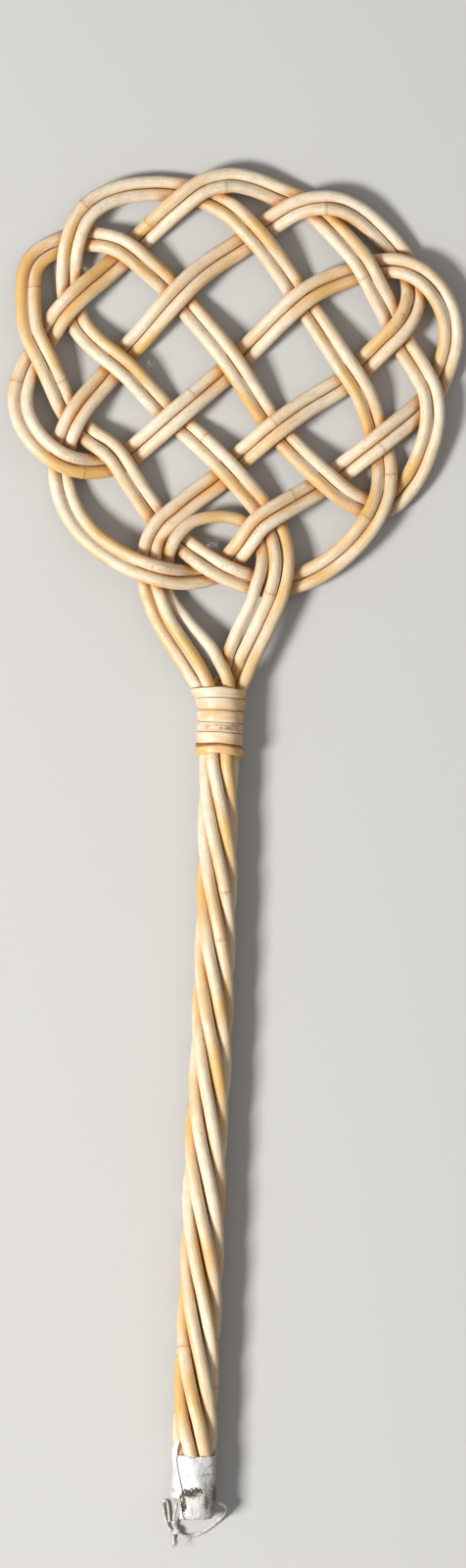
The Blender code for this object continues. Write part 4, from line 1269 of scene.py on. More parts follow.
@dataclass
class NeckBinding:
    """The cane strip that is wound round the neck, with its cut end and its tucked end."""

    grip: Grip
    first_turn: float = -0.45
    last_turn: float = 5.27
    column_turn: float = 0.2
    steps_a_turn: int = 90
    thickness: float = 2.0 * MM
    clearance: float = 0.05 * MM
    proud: float = 0.5 * MM
    unflared: float = 4.5 * MM
    groove: float = 0.06 * MM
    first_ends: float = 0.6
    lean_from: float = 0.2
    lean_over: float = 0.5
    section_powers: tuple = (0.92, 0.72)
    points: int = 20
    softness: int = 13
    last_starts: float = 4.55
    last_eases: float = 0.3
    front: float = 5.0
    highlight_width: float = 0.11
    last_amber: tuple = (0.57, 0.38)
    right_shade_amber: float = 0.48
    right_begins: float = 0.18
    right_ends: float = 0.45
    right_fades: float = 0.2
    scuffed: float = 3.03
    scuffed_width: float = 0.14

    def tree(self) -> bpy.types.NodeTree:
        """Makes the node tree that lays a flat strip along a centre line.

        Returns:
            The tree, with its sizes as named inputs.
        """
        tree, node, sizes = start_tree("wind_strip", {"Thickness": "Float", "Points": "Int"})
        curve = node("GeometryNodeMeshToCurve", {}, {"Mesh": sizes["Guide"]})
        circle = node("GeometryNodeCurvePrimitiveCircle", {}, {
            "Resolution": sizes["Points"], "Radius": 1.0})
        split = node("ShaderNodeSeparateXYZ", {}, {"Vector": node("GeometryNodeInputPosition")})
        values = {}
        for axis, power in zip("XY", self.section_powers):
            work_out(node, values, (
                ("size", "ABSOLUTE", split.outputs[axis]), ("power", "POWER", "size", power),
                ("sign", "SIGN", split.outputs[axis]), ("side", "MULTIPLY", "power", "sign"),
                (axis, "MULTIPLY", "side", 0.5)))
        section = node("ShaderNodeCombineXYZ", {}, {"X": values["X"], "Y": values["Y"]})
        marked = node("GeometryNodeStoreNamedAttribute", VECTOR, {
            "Geometry": circle, "Name": "section", "Value": section})
        swept = node("GeometryNodeCurveToMesh", {}, {
            "Curve": curve, "Fill Caps": True, "Profile Curve": marked})
        centre, outward, sideways, kept = (
            node("GeometryNodeInputNamedAttribute", VECTOR, {"Name": name})
            for name in ("centre", "outward", "sideways", "section"))
        parts = node("ShaderNodeSeparateXYZ", {}, {"Vector": kept}).outputs
        width = node("ShaderNodeVectorMath", {"operation": "LENGTH"}, {0: sideways})
        work_out(node, values, (
            ("thick", "MULTIPLY", parts[0], sizes["Thickness"]),
            ("across", "MULTIPLY", parts[1], width),
            ("off", "ABSOLUTE", parts[1]), ("rim", "MULTIPLY", "off", 2.0)))
        rise = node("ShaderNodeVectorMath", {"operation": "SCALE"},
                    {"Vector": outward, "Scale": values["thick"]})
        shift = node("ShaderNodeVectorMath", {"operation": "SCALE"},
                     {"Vector": sideways, "Scale": parts[1]})
        summed = node("ShaderNodeVectorMath", {"operation": "ADD"}, {0: rise, 1: shift})
        place = node("ShaderNodeVectorMath", {"operation": "ADD"}, {0: summed, 1: centre})
        moved = node("GeometryNodeSetPosition", {}, {"Geometry": swept, "Position": place})
        flat = node("ShaderNodeCombineXYZ", {}, {"X": values["thick"], "Y": values["across"]})
        stored = store_coords(node, moved, flat, "strip_coords")
        edged = node("GeometryNodeStoreNamedAttribute", NUMBER, {
            "Geometry": stored, "Name": "rim", "Value": values["rim"]})
        return end_tree(tree, edged, sizes["Finish"])

    def build(self, finish: bpy.types.Material) -> None:
        """Winds the strip.

        Args:
            finish: its material.
        """
        turns, upper, lower = [], [], []
        for band, (above, below) in enumerate(zip(BAND_EDGES_PX, BAND_EDGES_PX[1:])):
            for column, x in enumerate(BAND_COLUMNS_PX):
                turns.append(band + (column - 1) * self.column_turn)
                upper.append(self.grip.find((x, above[column]), self.thickness)[1])
                lower.append(self.grip.find((x, below[column]), self.thickness)[1])
        turn = np.arange(self.first_turn, self.last_turn, 1 / self.steps_a_turn)
        top, bottom = (np.convolve(np.pad(np.interp(turn, turns, row), self.softness // 2, "edge"),
                                   soft_window(self.softness), "valid")
                       for row in (upper, lower))
        top, bottom = top - self.groove / 2, bottom + self.groove / 2
        angle = math.pi / 2 - TURN * turn
        last = smooth_step((turn - self.last_starts) / self.last_eases)
        out = self.clearance + self.proud * last + self.thickness / 2
        # The first turn starts under the spread canes on the right, so it hardly flares there
        lean = smooth_step((np.cos(angle) - self.lean_from) / self.lean_over)
        lean = self.unflared * lean * (turn < self.first_ends)
        high = self.grip.place(angle, top, self.grip.radius(angle, top - lean, True) + out)
        low = self.grip.place(angle, bottom, self.grip.radius(angle, bottom, True) + out)
        centre, sideways = (high + low) / 2, high - low
        outward = np.cross(np.gradient(centre, axis=0), sideways)
        outward /= np.linalg.norm(outward, axis=1)[:, None]
        inside = (outward * (centre - self.grip.place(angle, top, 0 * out))).sum(axis=1) < 0
        outward[inside] *= -1
        # The right side of each turn but the last, away from the lamp, is ambered as painted shade
        shaded_right_side = smooth_step(turn % 1 / self.right_begins)
        shaded_right_side *= 1 - smooth_step((turn % 1 - self.right_ends) / self.right_fades)
        # The last turn is paler at its front, on top, as a painted highlight
        ends = 1 - np.exp(-((turn - self.front) / self.highlight_width) ** 2)
        amber = (last * (self.last_amber[0] + self.last_amber[1] * ends)
                 + self.right_shade_amber * shaded_right_side * (1 - last))
        scuffed = np.exp(-((turn - self.scuffed) / self.scuffed_width) ** 4)
        guide = guide_mesh("strip_line", [centre], centre=centre, outward=outward,
                           sideways=sideways, along=lengths_along(centre) / MM, amber=amber,
                           scuffed=scuffed)
        sizes = {"Thickness": self.thickness, "Points": self.points, "Finish": finish}
        strip = grow(guide, self.tree(), sizes, "wound_strip")
        tie(show("wound_strip", strip), Body.BEATER, Slot.BINDING, ("neck_binding",))


@dataclass
class EndTape:
    """Cloth tape round the butt, lapped, creased and torn, over a layer of old gum."""

    grip: Grip
    columns: int = 250
    side_rows: int = 96
    end_rows: int = 22
    overlap: float = 0.5
    layer: float = 0.5 * MM
    clearance: float = 0.35 * MM
    thickness: float = 0.32 * MM
    gum_thickness: float = 0.2 * MM
    gum_inside: float = 1.4 * MM
    corner: float = 4.2 * MM
    bottom: float = -468.3 * MM
    top: float = -434.5 * MM
    notch_x: float = -8.2 * MM
    notch_down: float = -456.9 * MM
    roundness_share: float = 0.35
    mean_radius: float = 12.3 * MM
    lump: float = 0.3 * MM
    lumps: tuple = (0.16, 0.6, 2.1, 4)
    pleats: tuple = (0.9, 0.12)
    tears: tuple = (0.7, 0.7, 2.0, 3)
    spots: tuple = (0.13, 0.8, 2.0, 3)
    crease_depth: float = 0.35 * MM
    crease_width: float = 0.5 * MM
    flap: float = 9.0 * MM
    flap_turn: float = 0.75
    rag: float = 0.35 * MM
    rag_rate: float = 9.0
    hidden_edge: tuple = ((-0.9, -0.6 * MM), (4.0, 0.8 * MM), (4.9, -0.4 * MM))
    end_inset: float = 0.7 * MM
    round_from: float = -448 * MM
    round_over: float = 12 * MM
    end_reach: float = 4 * MM
    pinch: float = 0.45 * MM
    layer_from: float = 1 * MM
    layer_over: float = 5 * MM
    lap_lift: float = 0.3 * MM
    seen_crease: float = 0.6
    gum_clearance: float = 0.05 * MM
    gum_below: float = 4 * MM
    loose_creases: int = 16
    loose_crease: tuple = (3 * MM, 2.2 * MM)
    spotted: float = 0.55
    spots_from: float = 0.3
    spots_over: float = 0.4
    dirt_behind: float = 5 * MM
    dirt_fades: float = 7 * MM
    notch_rag: tuple = ((0.7, 0.5), (0.6, 0.7))
    hole_rag: float = 2.2
    merged: float = 0.002 * MM

    def fold_over(self, angle: np.ndarray, down: np.ndarray, base: float) -> tuple:
        """Rounds the sleeve's lower end and closes it.

        Args:
            angle: angle of each point round the handle.
            down: its place down the unrolled sheet, as Y from the neck.
            base: how far the sheet stands from the outline.

        Returns:
            Y from the neck and distance from the middle of each point.
        """
        turn_start = self.bottom + self.corner
        past = np.clip(turn_start - down, 0, None)
        level = np.maximum(down, turn_start)
        hull = self.grip.radius(angle, level)
        share = self.roundness_share + (1 - self.roundness_share) * smooth_step(
            (self.round_from - level) / self.round_over)
        side = hull * (1 - share) + (self.mean_radius - self.end_inset) * share + base
        bend = np.clip(past / self.corner, 0, math.pi / 2)
        flat = np.clip(past - self.corner * math.pi / 2, 0, None) / (self.mean_radius - self.corner)
        out = (side - self.corner) * (1 - flat) + self.corner * np.cos(bend)
        return level - self.corner * np.sin(bend), np.maximum(out, 0)

    def upper_edge(self, angle: np.ndarray, turned: np.ndarray, base: float) -> np.ndarray:
        """Gives the tape's ragged upper edge, with the flap where the tape begins.

        Args:
            angle: angle of each point round the handle.
            turned: how far the tape has turned at each column of points.
            base: how far the tape stands from the canes.

        Returns:
            Y of the edge from the neck, over each point.
        """
        front = sorted(self.grip.find(place, base) for place in TAPE_EDGE_PX)
        right, left = front[0], front[-1]
        # The part that the photograph doesn't show rises and falls from the ends of what it does
        before, after, last = self.hidden_edge
        angles, heights = zip(
            (left[0] - TURN, left[1]), (before[0], right[1] + before[1]), *front,
            (after[0], left[1] + after[1]), (last[0], right[1] + last[1]),
            (right[0] + TURN, right[1]))
        rag = np.array([[noise.noise(Vector((value * self.rag_rate, 3.1, 0.5)))
                         for value in angle[0]]])
        return (np.interp(angle % TURN, angles, heights) + rag * self.rag
                + self.flap * np.clip(1 - turned / self.flap_turn, 0, 1))

    def sheet(self, name: str, base: float, top: float, finish: bpy.types.Material,
              torn: bool) -> bpy.types.Mesh:
        """Makes one layer.

        Args:
            name: its name.
            base: how far it stands from the canes.
            top: Y of its upper edge from the neck.
            finish: its material.
            torn: whether it has the holes, the lap and the creases.

        Returns:
            Its mesh.
        """
        lap = np.array([self.grip.find(place, base) for place in TAPE_LAP_PX])
        reach = self.bottom - self.corner * (math.pi / 2 - 1) - (self.mean_radius - self.corner)
        share = np.linspace(0, 1, self.side_rows + self.end_rows)[:, None]
        around = np.linspace(0, 1, self.columns)[None, :]
        down = top + (reach - top) * share + 0 * around
        begin = np.interp(-down, -lap[:, 1], lap[:, 0])
        angle = begin + around * (TURN + (self.overlap if torn else 0))
        if torn:
            turned = around * (TURN + self.overlap)
            upper = self.upper_edge(angle, turned, base)
            down = upper + (reach - upper) * share
            begin = np.interp(-down, -lap[:, 1], lap[:, 0])
            angle = begin + turned
        level, out = self.fold_over(angle, down, base)
        closing = smooth_step((self.bottom + self.corner - down) / self.end_reach)
        if torn:
            rise = smooth_step((out - self.layer_from) / self.layer_over)
            out = out + self.layer * (1 - around) * rise
            level = level + self.lap_lift * around * closing
        flat = np.stack((angle * self.mean_radius / MM, down / MM, 0 * angle), axis=-1)
        bumps = uneven(flat, *self.lumps)
        wide, high = self.pleats
        pinch = np.array([[noise.noise(Vector((point[0] * wide, 7.7, point[1] * high)))
                           for point in row] for row in flat])
        crease = np.zeros_like(out)
        points = self.grip.place(angle, level, out)
        if torn:
            for ends in TAPE_CREASES_PX:
                first, second = (photo_point(end) for end in ends)
                crease = np.maximum(crease, self.groove(seen_place(points), first, second - first)
                                    * (points[..., 2] > NECK_PLACE[2]) * self.seen_crease)
            # Painted shadow along the lapped edge, carried in the crease mark
            under = (angle - begin - TURN) * self.mean_radius
            crease = np.maximum(crease, np.exp(-(under / self.crease_width) ** 2))
            random = np.random.default_rng(SEED)
            spot = np.stack(((angle % TURN) * self.mean_radius, down), axis=-1)
            for _ in range(self.loose_creases):
                first = np.array((random.uniform(math.pi, TURN) * self.mean_radius,
                                  random.uniform(self.bottom, self.top)))
                way = random.normal(size=2) * self.loose_crease
                crease = np.maximum(crease, self.groove(spot, first, way))
        inner = smooth_step(out / self.end_reach)
        out = out + (self.lump * bumps * (1 - 0.5 * closing) - self.crease_depth * crease) * inner
        level = level + (self.lap_lift - self.pinch * pinch) * closing * inner
        # The gum ends well inside the folded end of the tape
        lowest = self.bottom + (0 if torn else self.gum_inside)
        points = self.grip.place(angle, np.maximum(level, lowest), np.maximum(out, 0))
        return self.cut(name, points, flat, crease, finish, torn)

    def groove(self, points: np.ndarray, start: np.ndarray, way: np.ndarray) -> np.ndarray:
        """Gives how deep points lie in a straight crease.

        Args:
            points: the points, in two directions.
            start: where the crease starts.
            way: from its start to its end.

        Returns:
            1 in its middle and 0 off it.
        """
        at = np.clip(((points - start) @ way) / (way @ way), 0, 1)
        off = np.linalg.norm(points - start - at[..., None] * way, axis=-1)
        return np.exp(-(off / self.crease_width) ** 2)

    def cut(self, name: str, points: np.ndarray, flat: np.ndarray, crease: np.ndarray,
            finish: bpy.types.Material, torn: bool) -> bpy.types.Mesh:
        """Cuts the notch and the torn holes out of a layer, and marks its dirt and the
        painted shade under its torn flaps.

        Args:
            name: its name.
            points: its grid of points.
            flat: their places on the unrolled tape, in millimetres.
            crease: how deep each lies in a crease.
            finish: its material.
            torn: whether the holes are cut too.

        Returns:
            Its mesh.
        """
        rows, columns = crease.shape
        rag = uneven(flat, *self.tears)
        front = points[..., 2] > NECK_PLACE[2] - 1 * MM
        depth = points[..., 1] - NECK_PLACE[1]
        wide, high = ((inset + share * rag) * MM for inset, share in self.notch_rag)
        side = self.notch_x - (points[..., 0] - self.grip.middle(depth)) + wide
        below = self.notch_down - depth + high
        gone = (side > 0) & (below > 0)
        spots = uneven(flat, *self.spots, shift=(9, 4, 2))
        grime = self.spotted * smooth_step((spots - self.spots_from) / self.spots_over)
        seen = seen_place(points)
        fading = smooth_step((points[..., 2] - NECK_PLACE[2] + self.dirt_behind)
                             / self.dirt_fades)
        # Dirt patches; those by the torn holes paint the shade under their flaps
        for place, size, strength in TAPE_DIRT_AND_SHADE_PX:
            off = (seen - photo_point(place)) / (np.array(size) * PIXEL)
            grime = np.maximum(grime, strength * np.exp(-(off ** 2).sum(axis=-1)) * fading)
        if torn:
            for place, size in TAPE_HOLES_PX:
                off = (seen - photo_point(place)) / (np.array(size) * PIXEL)
                gone |= ((off ** 2).sum(axis=-1) < 1 + self.hole_rag * rag) & front
        index = np.arange(rows * columns).reshape(rows, columns)
        corner_sets = np.stack((index[:-1, :-1], index[:-1, 1:], index[1:, 1:], index[1:, :-1]),
                               axis=-1)
        kept = ~gone.ravel()[corner_sets].any(axis=-1)
        mesh = bpy.data.meshes.new(name)
        mesh.from_pydata(points.reshape(-1, 3).tolist(), [], corner_sets[kept].tolist())
        set_attribute(mesh, "tape_coords", flat.reshape(-1, 3))
        set_attribute(mesh, "grime", grime.ravel())
        set_attribute(mesh, "crease", crease.ravel())
        mesh.materials.append(finish)
        sketch = bmesh.new()
        sketch.from_mesh(mesh)
        loose = [vertex for vertex in sketch.verts if not vertex.link_faces]
        bmesh.ops.delete(sketch, geom=loose, context="VERTS")
        bmesh.ops.remove_doubles(sketch, verts=sketch.verts, dist=self.merged)
        bmesh.ops.recalc_face_normals(sketch, faces=sketch.faces)
        face = max(sketch.faces, key=lambda one: one.calc_center_median().y)
        away = face.calc_center_median() - Vector(NECK_PLACE)
        if face.normal.x * away.x + face.normal.z * away.z < 0:
            bmesh.ops.reverse_faces(sketch, faces=sketch.faces)
        sketch.to_mesh(mesh)
        sketch.free()
        mesh.shade_smooth()
        return mesh

    def build(self, tape: bpy.types.Material, gum: bpy.types.Material) -> None:
        """Makes the tape and the gum under it.

        Args:
            tape: material of the tape.
            gum: material of the gum.
        """
        outer = self.sheet("lapped_tape", self.clearance, self.top, tape, True)
        inner = self.sheet("gum_layer", self.gum_clearance, self.top - self.gum_below, gum, False)
        for mesh, thickness, nodes in ((outer, self.thickness, ("end_tape",)),
                                       (inner, self.gum_thickness, ())):
            piece = show(mesh.name, mesh)
            wall = piece.modifiers.new("Wall", "SOLIDIFY")
            wall.thickness = thickness
            wall.offset = 1.0
            tie(piece, Body.BEATER, Slot.TAPE, nodes)


@dataclass
class LooseFibres:
    """Frayed ends, fuzz and lint, and the hairs that stand off the peeled canes."""

    thick: float = 0.11 * MM
    hair: float = 0.08 * MM
    splinter: float = 0.7 * MM
    splinter_step: float = 0.4 * MM
    tip_heights: tuple = (11 * MM, 14.5 * MM, 15 * MM, 12 * MM)
    sides: int = 4
    points_a_hair: int = 14
    hair_mm: tuple = (1.5, 5)
    hair_root: float = 0.05 * MM
    hair_lean: tuple = (0.12, 0.5)
    hair_curl: float = 0.5
    hair_steps: int = 6
    hair_floor: float = 0.2 * MM
    lint_mm: tuple = (2, 6)
    lint_over: float = 0.3 * MM
    lint_hangs_mm: tuple = (7, 13)
    lint_curl: float = 1.8
    trees: dict = field(default_factory=dict)

    def tree(self) -> bpy.types.NodeTree:
        """Makes the node tree that thickens lines to fibres.

        Returns:
            The tree, with its sizes as named inputs.
        """
        tree, node, sizes = start_tree("draw_fibres", {"Radius": "Float", "Sides": "Int"})
        curve = node("GeometryNodeMeshToCurve", {}, {"Mesh": sizes["Guide"]})
        share = node("GeometryNodeSplineParameter").outputs["Factor"]
        thin = node("ShaderNodeMapRange", {}, {"Value": share, "To Min": 1.0, "To Max": 0.25})
        profile = node("GeometryNodeCurvePrimitiveCircle", {}, {
            "Resolution": sizes["Sides"], "Radius": sizes["Radius"]})
        swept = node("GeometryNodeCurveToMesh", {}, {
            "Curve": curve, "Fill Caps": True, "Profile Curve": profile, "Scale": thin})
        return end_tree(tree, swept, sizes["Finish"])

    def draw(self, name: str, lines: list[np.ndarray], radius: float, place: tuple[Body, Slot],
             finish: bpy.types.Material) -> bpy.types.Object:
        """Draws fibres as one piece.

        Args:
            name: name of the piece.
            lines: points of each fibre.
            radius: radius of a fibre at its root.
            place: the body that they ride on and the slot of their finish.
            finish: their material.

        Returns:
            The piece.
        """
        if "fibres" not in self.trees:
            self.trees["fibres"] = self.tree()
        sizes = {"Radius": radius, "Sides": self.sides, "Finish": finish}
        mesh = grow(guide_mesh(name + "_lines", lines), self.trees["fibres"], sizes, name)
        return tie(show(name, mesh), *place)

    def lint(self, random: np.random.Generator, canes: CaneWork) -> list[np.ndarray]:
        """Draws the lint that is caught on the canes where the photograph shows it.

        Args:
            random: source of the fibres' ways.
            canes: the canes.

        Returns:
            Points of each fibre.
        """
        lines = []
        for place, spread, count in LINT_PX:
            for _ in range(count):
                spot = photo_point(np.array(place) + random.normal(size=2) * np.array(spread) / 2)
                high = 0.0
                for line in canes.lines.values():
                    off = np.linalg.norm(line[:, :2] - spot, axis=1)
                    near = off < line[:, 3]
                    if near.any():
                        top = line[near, 2] + np.sqrt(line[near, 3] ** 2 - off[near] ** 2)
                        high = max(high, top.max())
                height = (high + self.lint_over if high
                          else random.uniform(*self.lint_hangs_mm) * MM)
                lines.append(curl(random, (*spot, height), random.normal(size=3) * (1, 1, 0.15),
                                  random.uniform(*self.lint_mm) * MM, self.lint_curl))
        return lines

    def hairs(self, random: np.random.Generator, canes: CaneWork) -> list[np.ndarray]:
        """Draws the splinter hairs that stand off the canes.

        Args:
            random: source of the hairs' ways.
            canes: the canes.

        Returns:
            Points of each hair.
        """
        lines = []
        for line in canes.lines.values():
            for index in random.integers(4, len(line) - 5, len(line) // self.points_a_hair):
                run = unit(line[index + 1, :3] - line[index, :3])
                side = unit(np.cross(run, random.normal(size=3)))
                start = line[index, :3] + side * (line[index, 3] - self.hair_root)
                hair = curl(random, start, side * random.uniform(*self.hair_lean)
                            + run * random.choice((-1, 1)),
                            random.uniform(*self.hair_mm) * MM, self.hair_curl, self.hair_steps)
                if hair[:, 2].min() > self.hair_floor:
                    lines.append(hair)
        return lines

    def build(self, canes: CaneWork, yarn: bpy.types.Material, cane: bpy.types.Material,
              core: bpy.types.Material) -> None:
        """Makes the lint and the hairs on the canes, and the tip of the core.

        Args:
            canes: the canes that they lie on.
            yarn: material of cotton fibres.
            cane: material of cane fibres.
            core: material of the core.
        """
        random = np.random.default_rng(SEED)
        tip = np.array([(*photo_point(place), height)
                        for place, height in zip(CORE_TIP_PX, self.tip_heights)])
        for name, lines, radius, slot, finish in (
                ("caught_lint", self.lint(random, canes), self.hair, Slot.STRING, yarn),
                ("cane_hairs", self.hairs(random, canes), self.hair, Slot.CANE, cane),
                ("core_splinter", [smooth_line(tip, self.splinter_step)], self.splinter, Slot.CORE,
                 core)):
            self.draw(name, lines, radius, (Body.BEATER, slot), finish)


@dataclass
class HangingString:
    """The twisted string with its knot, its ear and its frayed tail."""

    diameter: float = 2.0 * MM
    length: float = 68.3 * MM
    thin: float = 1.5 * MM
    lay_share: float = 3.4
    step: float = 0.4 * MM
    plies: int = 3
    floor: float = 0.15 * MM
    pressed: float = 0.14
    tail_fibres: int = 16
    loose_fibres: int = 5
    fuzz: tuple = (80, 26, 10)
    fuzz_mm: tuple = (0.8, 2.6)
    fuzz_root: float = 0.6 * MM
    fuzz_along: float = 0.7
    fuzz_curl: float = 1.6
    tail_mm: tuple = (1.6, 3.4)
    tail_root_mm: tuple = (0.2, 1.6)
    tail_spread: float = 0.25 * MM
    tail_fan: float = 0.4
    tail_curl: float = 0.8
    loose_sag: float = 0.3 * MM
    loose_spread: float = 0.2 * MM
    loose_share: tuple = (0.8, 1.15)
    loose_curl: float = 0.5
    knot_points: int = 70
    knot_sinks: float = 0.15 * MM
    knot_start: float = 0.6
    knot_turns: tuple = (-0.2, 2.15)
    knot_rise: float = 1.15 * MM
    frayed_px: tuple = ((193, 1572), (189, 1583))

    @staticmethod
    def tree() -> bpy.types.NodeTree:
        """Makes the node tree that twists plies along a path.

        Returns:
            The tree, with its sizes as named inputs.
        """
        tree, node, sizes = start_tree("twist_plies", {"Plies": "Int", "Ply radius": "Float",
                                                       "Ply offset": "Float", "Lay": "Float"})
        curve = node("GeometryNodeMeshToCurve", {}, {"Mesh": sizes["Guide"]})
        run = node("GeometryNodeSplineParameter").outputs["Length"]
        values = {}
        work_out(node, values, (("turns", "DIVIDE", run, sizes["Lay"]),
                                ("tilt", "MULTIPLY", "turns", TURN), ("along", "DIVIDE", run, MM)))
        twisted = node("GeometryNodeSetCurveTilt", {}, {"Curve": curve, "Tilt": values["tilt"]})
        long = node("GeometryNodeStoreNamedAttribute", NUMBER, {
            "Geometry": twisted, "Name": "along", "Value": values["along"]})
        ply, ring = (
            node("GeometryNodeCurvePrimitiveCircle", {}, {"Resolution": count, "Radius": size})
            for count, size in ((10, sizes["Ply radius"]), (sizes["Plies"], sizes["Ply offset"])))
        marked = node("GeometryNodeStoreNamedAttribute", VECTOR, {
            "Geometry": ply, "Name": "around", "Value": node("GeometryNodeInputPosition")})
        put = node("GeometryNodeInstanceOnPoints", {}, {"Points": ring, "Instance": marked})
        profile = node("GeometryNodeRealizeInstances", {}, {"Geometry": put})
        swept = node("GeometryNodeCurveToMesh", {}, {
            "Curve": long, "Fill Caps": True, "Profile Curve": profile})
        around = node("GeometryNodeInputNamedAttribute", VECTOR, {"Name": "around"})
        stored = store_coords(node, swept, around, "yarn_coords")
        return end_tree(tree, stored, sizes["Finish"])

    def twist(self, tree: bpy.types.NodeTree, name: str, path: np.ndarray, diameter: float,
              finish: bpy.types.Material) -> bpy.types.Object:
        """Twists a string along a path.

        Args:
            tree: the node tree.
            name: name of the piece.
            path: points of its path.
            diameter: diameter over its plies.
            finish: its material.

        Returns:
            The piece.
        """
        spread = 2 / math.sqrt(3)
        ply = diameter / 2 / (1 + spread)
        sizes = {"Plies": self.plies, "Ply radius": ply * (1 + self.pressed),
                 "Ply offset": ply * (spread - self.pressed), "Lay": self.lay_share * diameter,
                 "Finish": finish}
        return show(name, grow(guide_mesh(name + "_line", [path]), tree, sizes, name))

    def knot_path(self, path: np.ndarray) -> np.ndarray:
        """Winds the knot round the string.

        Args:
            path: the string's path.

        Returns:
            Points of the thread that makes the knot.
        """
        at = int(np.argmin(np.linalg.norm(path - (SWING_PLACE + KNOT_PLACE), axis=1)))
        way = unit(path[at + 3] - path[at - 3])
        side = unit(np.cross(way, (0, 0, 1)))
        rise = np.cross(side, way)
        turn = np.linspace(*self.knot_turns, self.knot_points)[:, None]
        out = self.diameter / 2 + self.thin / 2 - self.knot_sinks
        angle = turn * TURN + self.knot_start
        return (path[at] + (turn - 1.0) * self.knot_rise * way
                + out * (np.cos(angle) * side + np.sin(angle) * rise))

    def fray(self, random: np.random.Generator, paths: list[np.ndarray]) -> list[np.ndarray]:
        """Draws the frayed tail, the loose thread and the string's own fuzz.

        Args:
            random: source of the fibres' ways.
            paths: paths of the string, its ear and its tail.

        Returns:
            Points of each fibre.
        """
        end, way = paths[2][-1], unit(paths[2][-1] - paths[2][-6])
        lines = [curl(random, end - way * random.uniform(*self.tail_root_mm) * MM
                      + random.normal(size=3) * self.tail_spread,
                      way + random.normal(size=3) * self.tail_fan,
                      random.uniform(*self.tail_mm) * MM, self.tail_curl)
                 for _ in range(self.tail_fibres)]
        leaves, ends = (photo_point(place) for place in self.frayed_px)
        start = paths[0][np.argmin(np.linalg.norm(paths[0][:, :2] - leaves, axis=1))]
        target = np.array((*ends, start[2] - self.loose_sag))
        reach = np.linalg.norm(target - start)
        for _ in range(self.loose_fibres):
            lines.append(curl(random, start + random.normal(size=3) * self.loose_spread,
                              target - start, reach * random.uniform(*self.loose_share),
                              self.loose_curl))
        for path, count in zip(paths, self.fuzz):
            for index in random.integers(1, len(path) - 2, count):
                run = (path[index + 1] - path[index]) / self.step
                side = unit(np.cross(run, random.normal(size=3)))
                lines.append(curl(random, path[index] + side * self.fuzz_root,
                                  side + run * self.fuzz_along,
                                  random.uniform(*self.fuzz_mm) * MM, self.fuzz_curl))
        return [np.maximum(line, (-1, -1, self.floor)) for line in lines]

    def build(self, finish: bpy.types.Material, fibres: LooseFibres) -> None:
        """Makes the string and the pieces on it.

        Args:
            finish: its material.
            fibres: what draws its loose fibres.
        """
        tree = self.tree()
        paths = [smooth_line(SWING_PLACE + route, self.step)
                 for route in (CORD_ROUTE, EAR_ROUTE, TAIL_ROUTE)]
        string = tie(self.twist(tree, "twisted_string", paths[0], self.diameter, finish),
                     Body.LOOP, Slot.STRING, ("hanging_cord",))
        pieces = [tie(self.twist(tree, name, path, self.thin, finish),
                      Body.LOOP, Slot.STRING, (node,)) for name, path, node in (
                          ("string_knot", self.knot_path(paths[0]), "cord_knot"),
                          ("string_ear", paths[1], "cord_ear"),
                          ("string_tail", paths[2], "cord_tail"))]
        lines = self.fray(np.random.default_rng(SEED), paths)
        pieces.append(fibres.draw("string_fray", lines, fibres.thick,
                                  (Body.LOOP, Slot.STRING), finish))


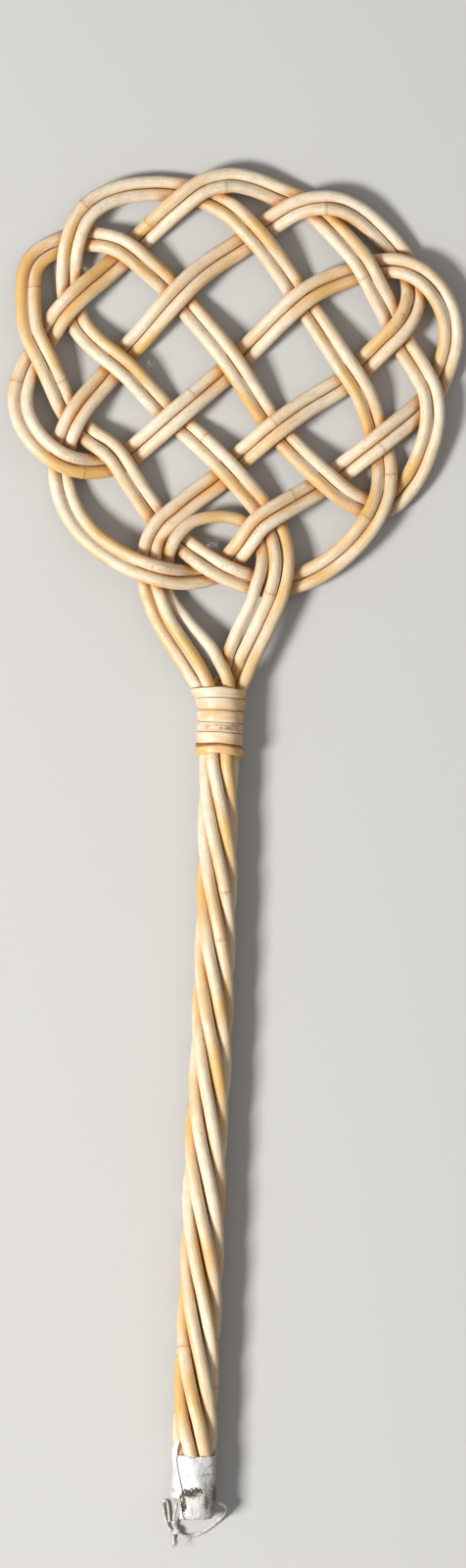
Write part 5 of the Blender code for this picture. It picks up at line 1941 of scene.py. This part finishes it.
@dataclass
class Studio:
    """Pale floor, soft light from the lower left, and the camera above."""

    sensor: float = 36.0
    floor_half: float = 6.0
    world_strength: float = 0.24
    lamps: tuple = (("key", (-2.1, -0.8, 2.4), 0.8, 119.0), ("fill", (1.1, 0.9, 1.5), 1.6, 3.5))

    def build(self, paper: bpy.types.Material) -> None:
        """Makes the floor, the lights and the camera.

        Args:
            paper: material of the floor.
        """
        mesh = bpy.data.meshes.new("floor")
        half = self.floor_half
        mesh.from_pydata([(-half, -half, 0), (half, -half, 0), (half, half, 0), (-half, half, 0)],
                         [], [(0, 1, 2, 3)])
        mesh.materials.append(paper)
        show("floor", mesh)
        for name, place, size, power in self.lamps:
            lamp = bpy.data.lights.new(name, "AREA")
            lamp.shape, lamp.size, lamp.energy = "SQUARE", size, power
            stand = bpy.data.objects.new(name, lamp)
            stand.location = place
            stand.rotation_euler = (-Vector(place)).to_track_quat("-Z", "Y").to_euler()
            bpy.context.scene.collection.objects.link(stand)
        world = bpy.data.worlds.new("studio")
        world.use_nodes = True
        world.node_tree.nodes["Background"].inputs["Color"].default_value = linear("#ffffff")
        world.node_tree.nodes["Background"].inputs["Strength"].default_value = self.world_strength
        bpy.context.scene.world = world
        bpy.context.scene.view_settings.view_transform = "Standard"

    def aim(self) -> None:
        """Adds the camera, straight above and rolled as the photograph is."""
        lens = bpy.data.cameras.new("camera")
        lens.sensor_width = self.sensor
        lens.lens = self.sensor * (CAMERA_HEIGHT - WEAVE_HEIGHT) / (PHOTO_PX[1] * PIXEL)
        camera = bpy.data.objects.new("camera", lens)
        middle = photo_point((PHOTO_PX[0] / 2, PHOTO_PX[1] / 2))
        camera.location = (middle[0], middle[1], CAMERA_HEIGHT)
        camera.rotation_euler = (0, 0, TILT)
        bpy.context.scene.collection.objects.link(camera)
        bpy.context.scene.camera = camera


def main() -> None:
    """Builds the pieces in order."""
    logging.basicConfig(level=logging.INFO, format="%(message)s")
    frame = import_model()
    studio = Studio()
    studio.aim()
    yarn, cane, core = CottonYarn().build(), PeeledRattan().build(), RattanCore().build()
    fibres = LooseFibres()
    HangingString().build(yarn, fibres)
    studio.build(Paper().build())
    canes = CaneWork()
    canes.read(frame["nodes"])
    grip = Grip(dict(canes.lines))
    grip.measure()
    canes.lay_over()
    canes.build(cane)
    frame["nodes"]["handle_core"].material_slots[0].material = core
    NeckBinding(grip).build(CaneStrip().build())
    EndTape(grip).build(ClothTape().build(), OldGum().build())
    fibres.build(canes, yarn, cane, core)


if __name__ == "__main__":
    main()
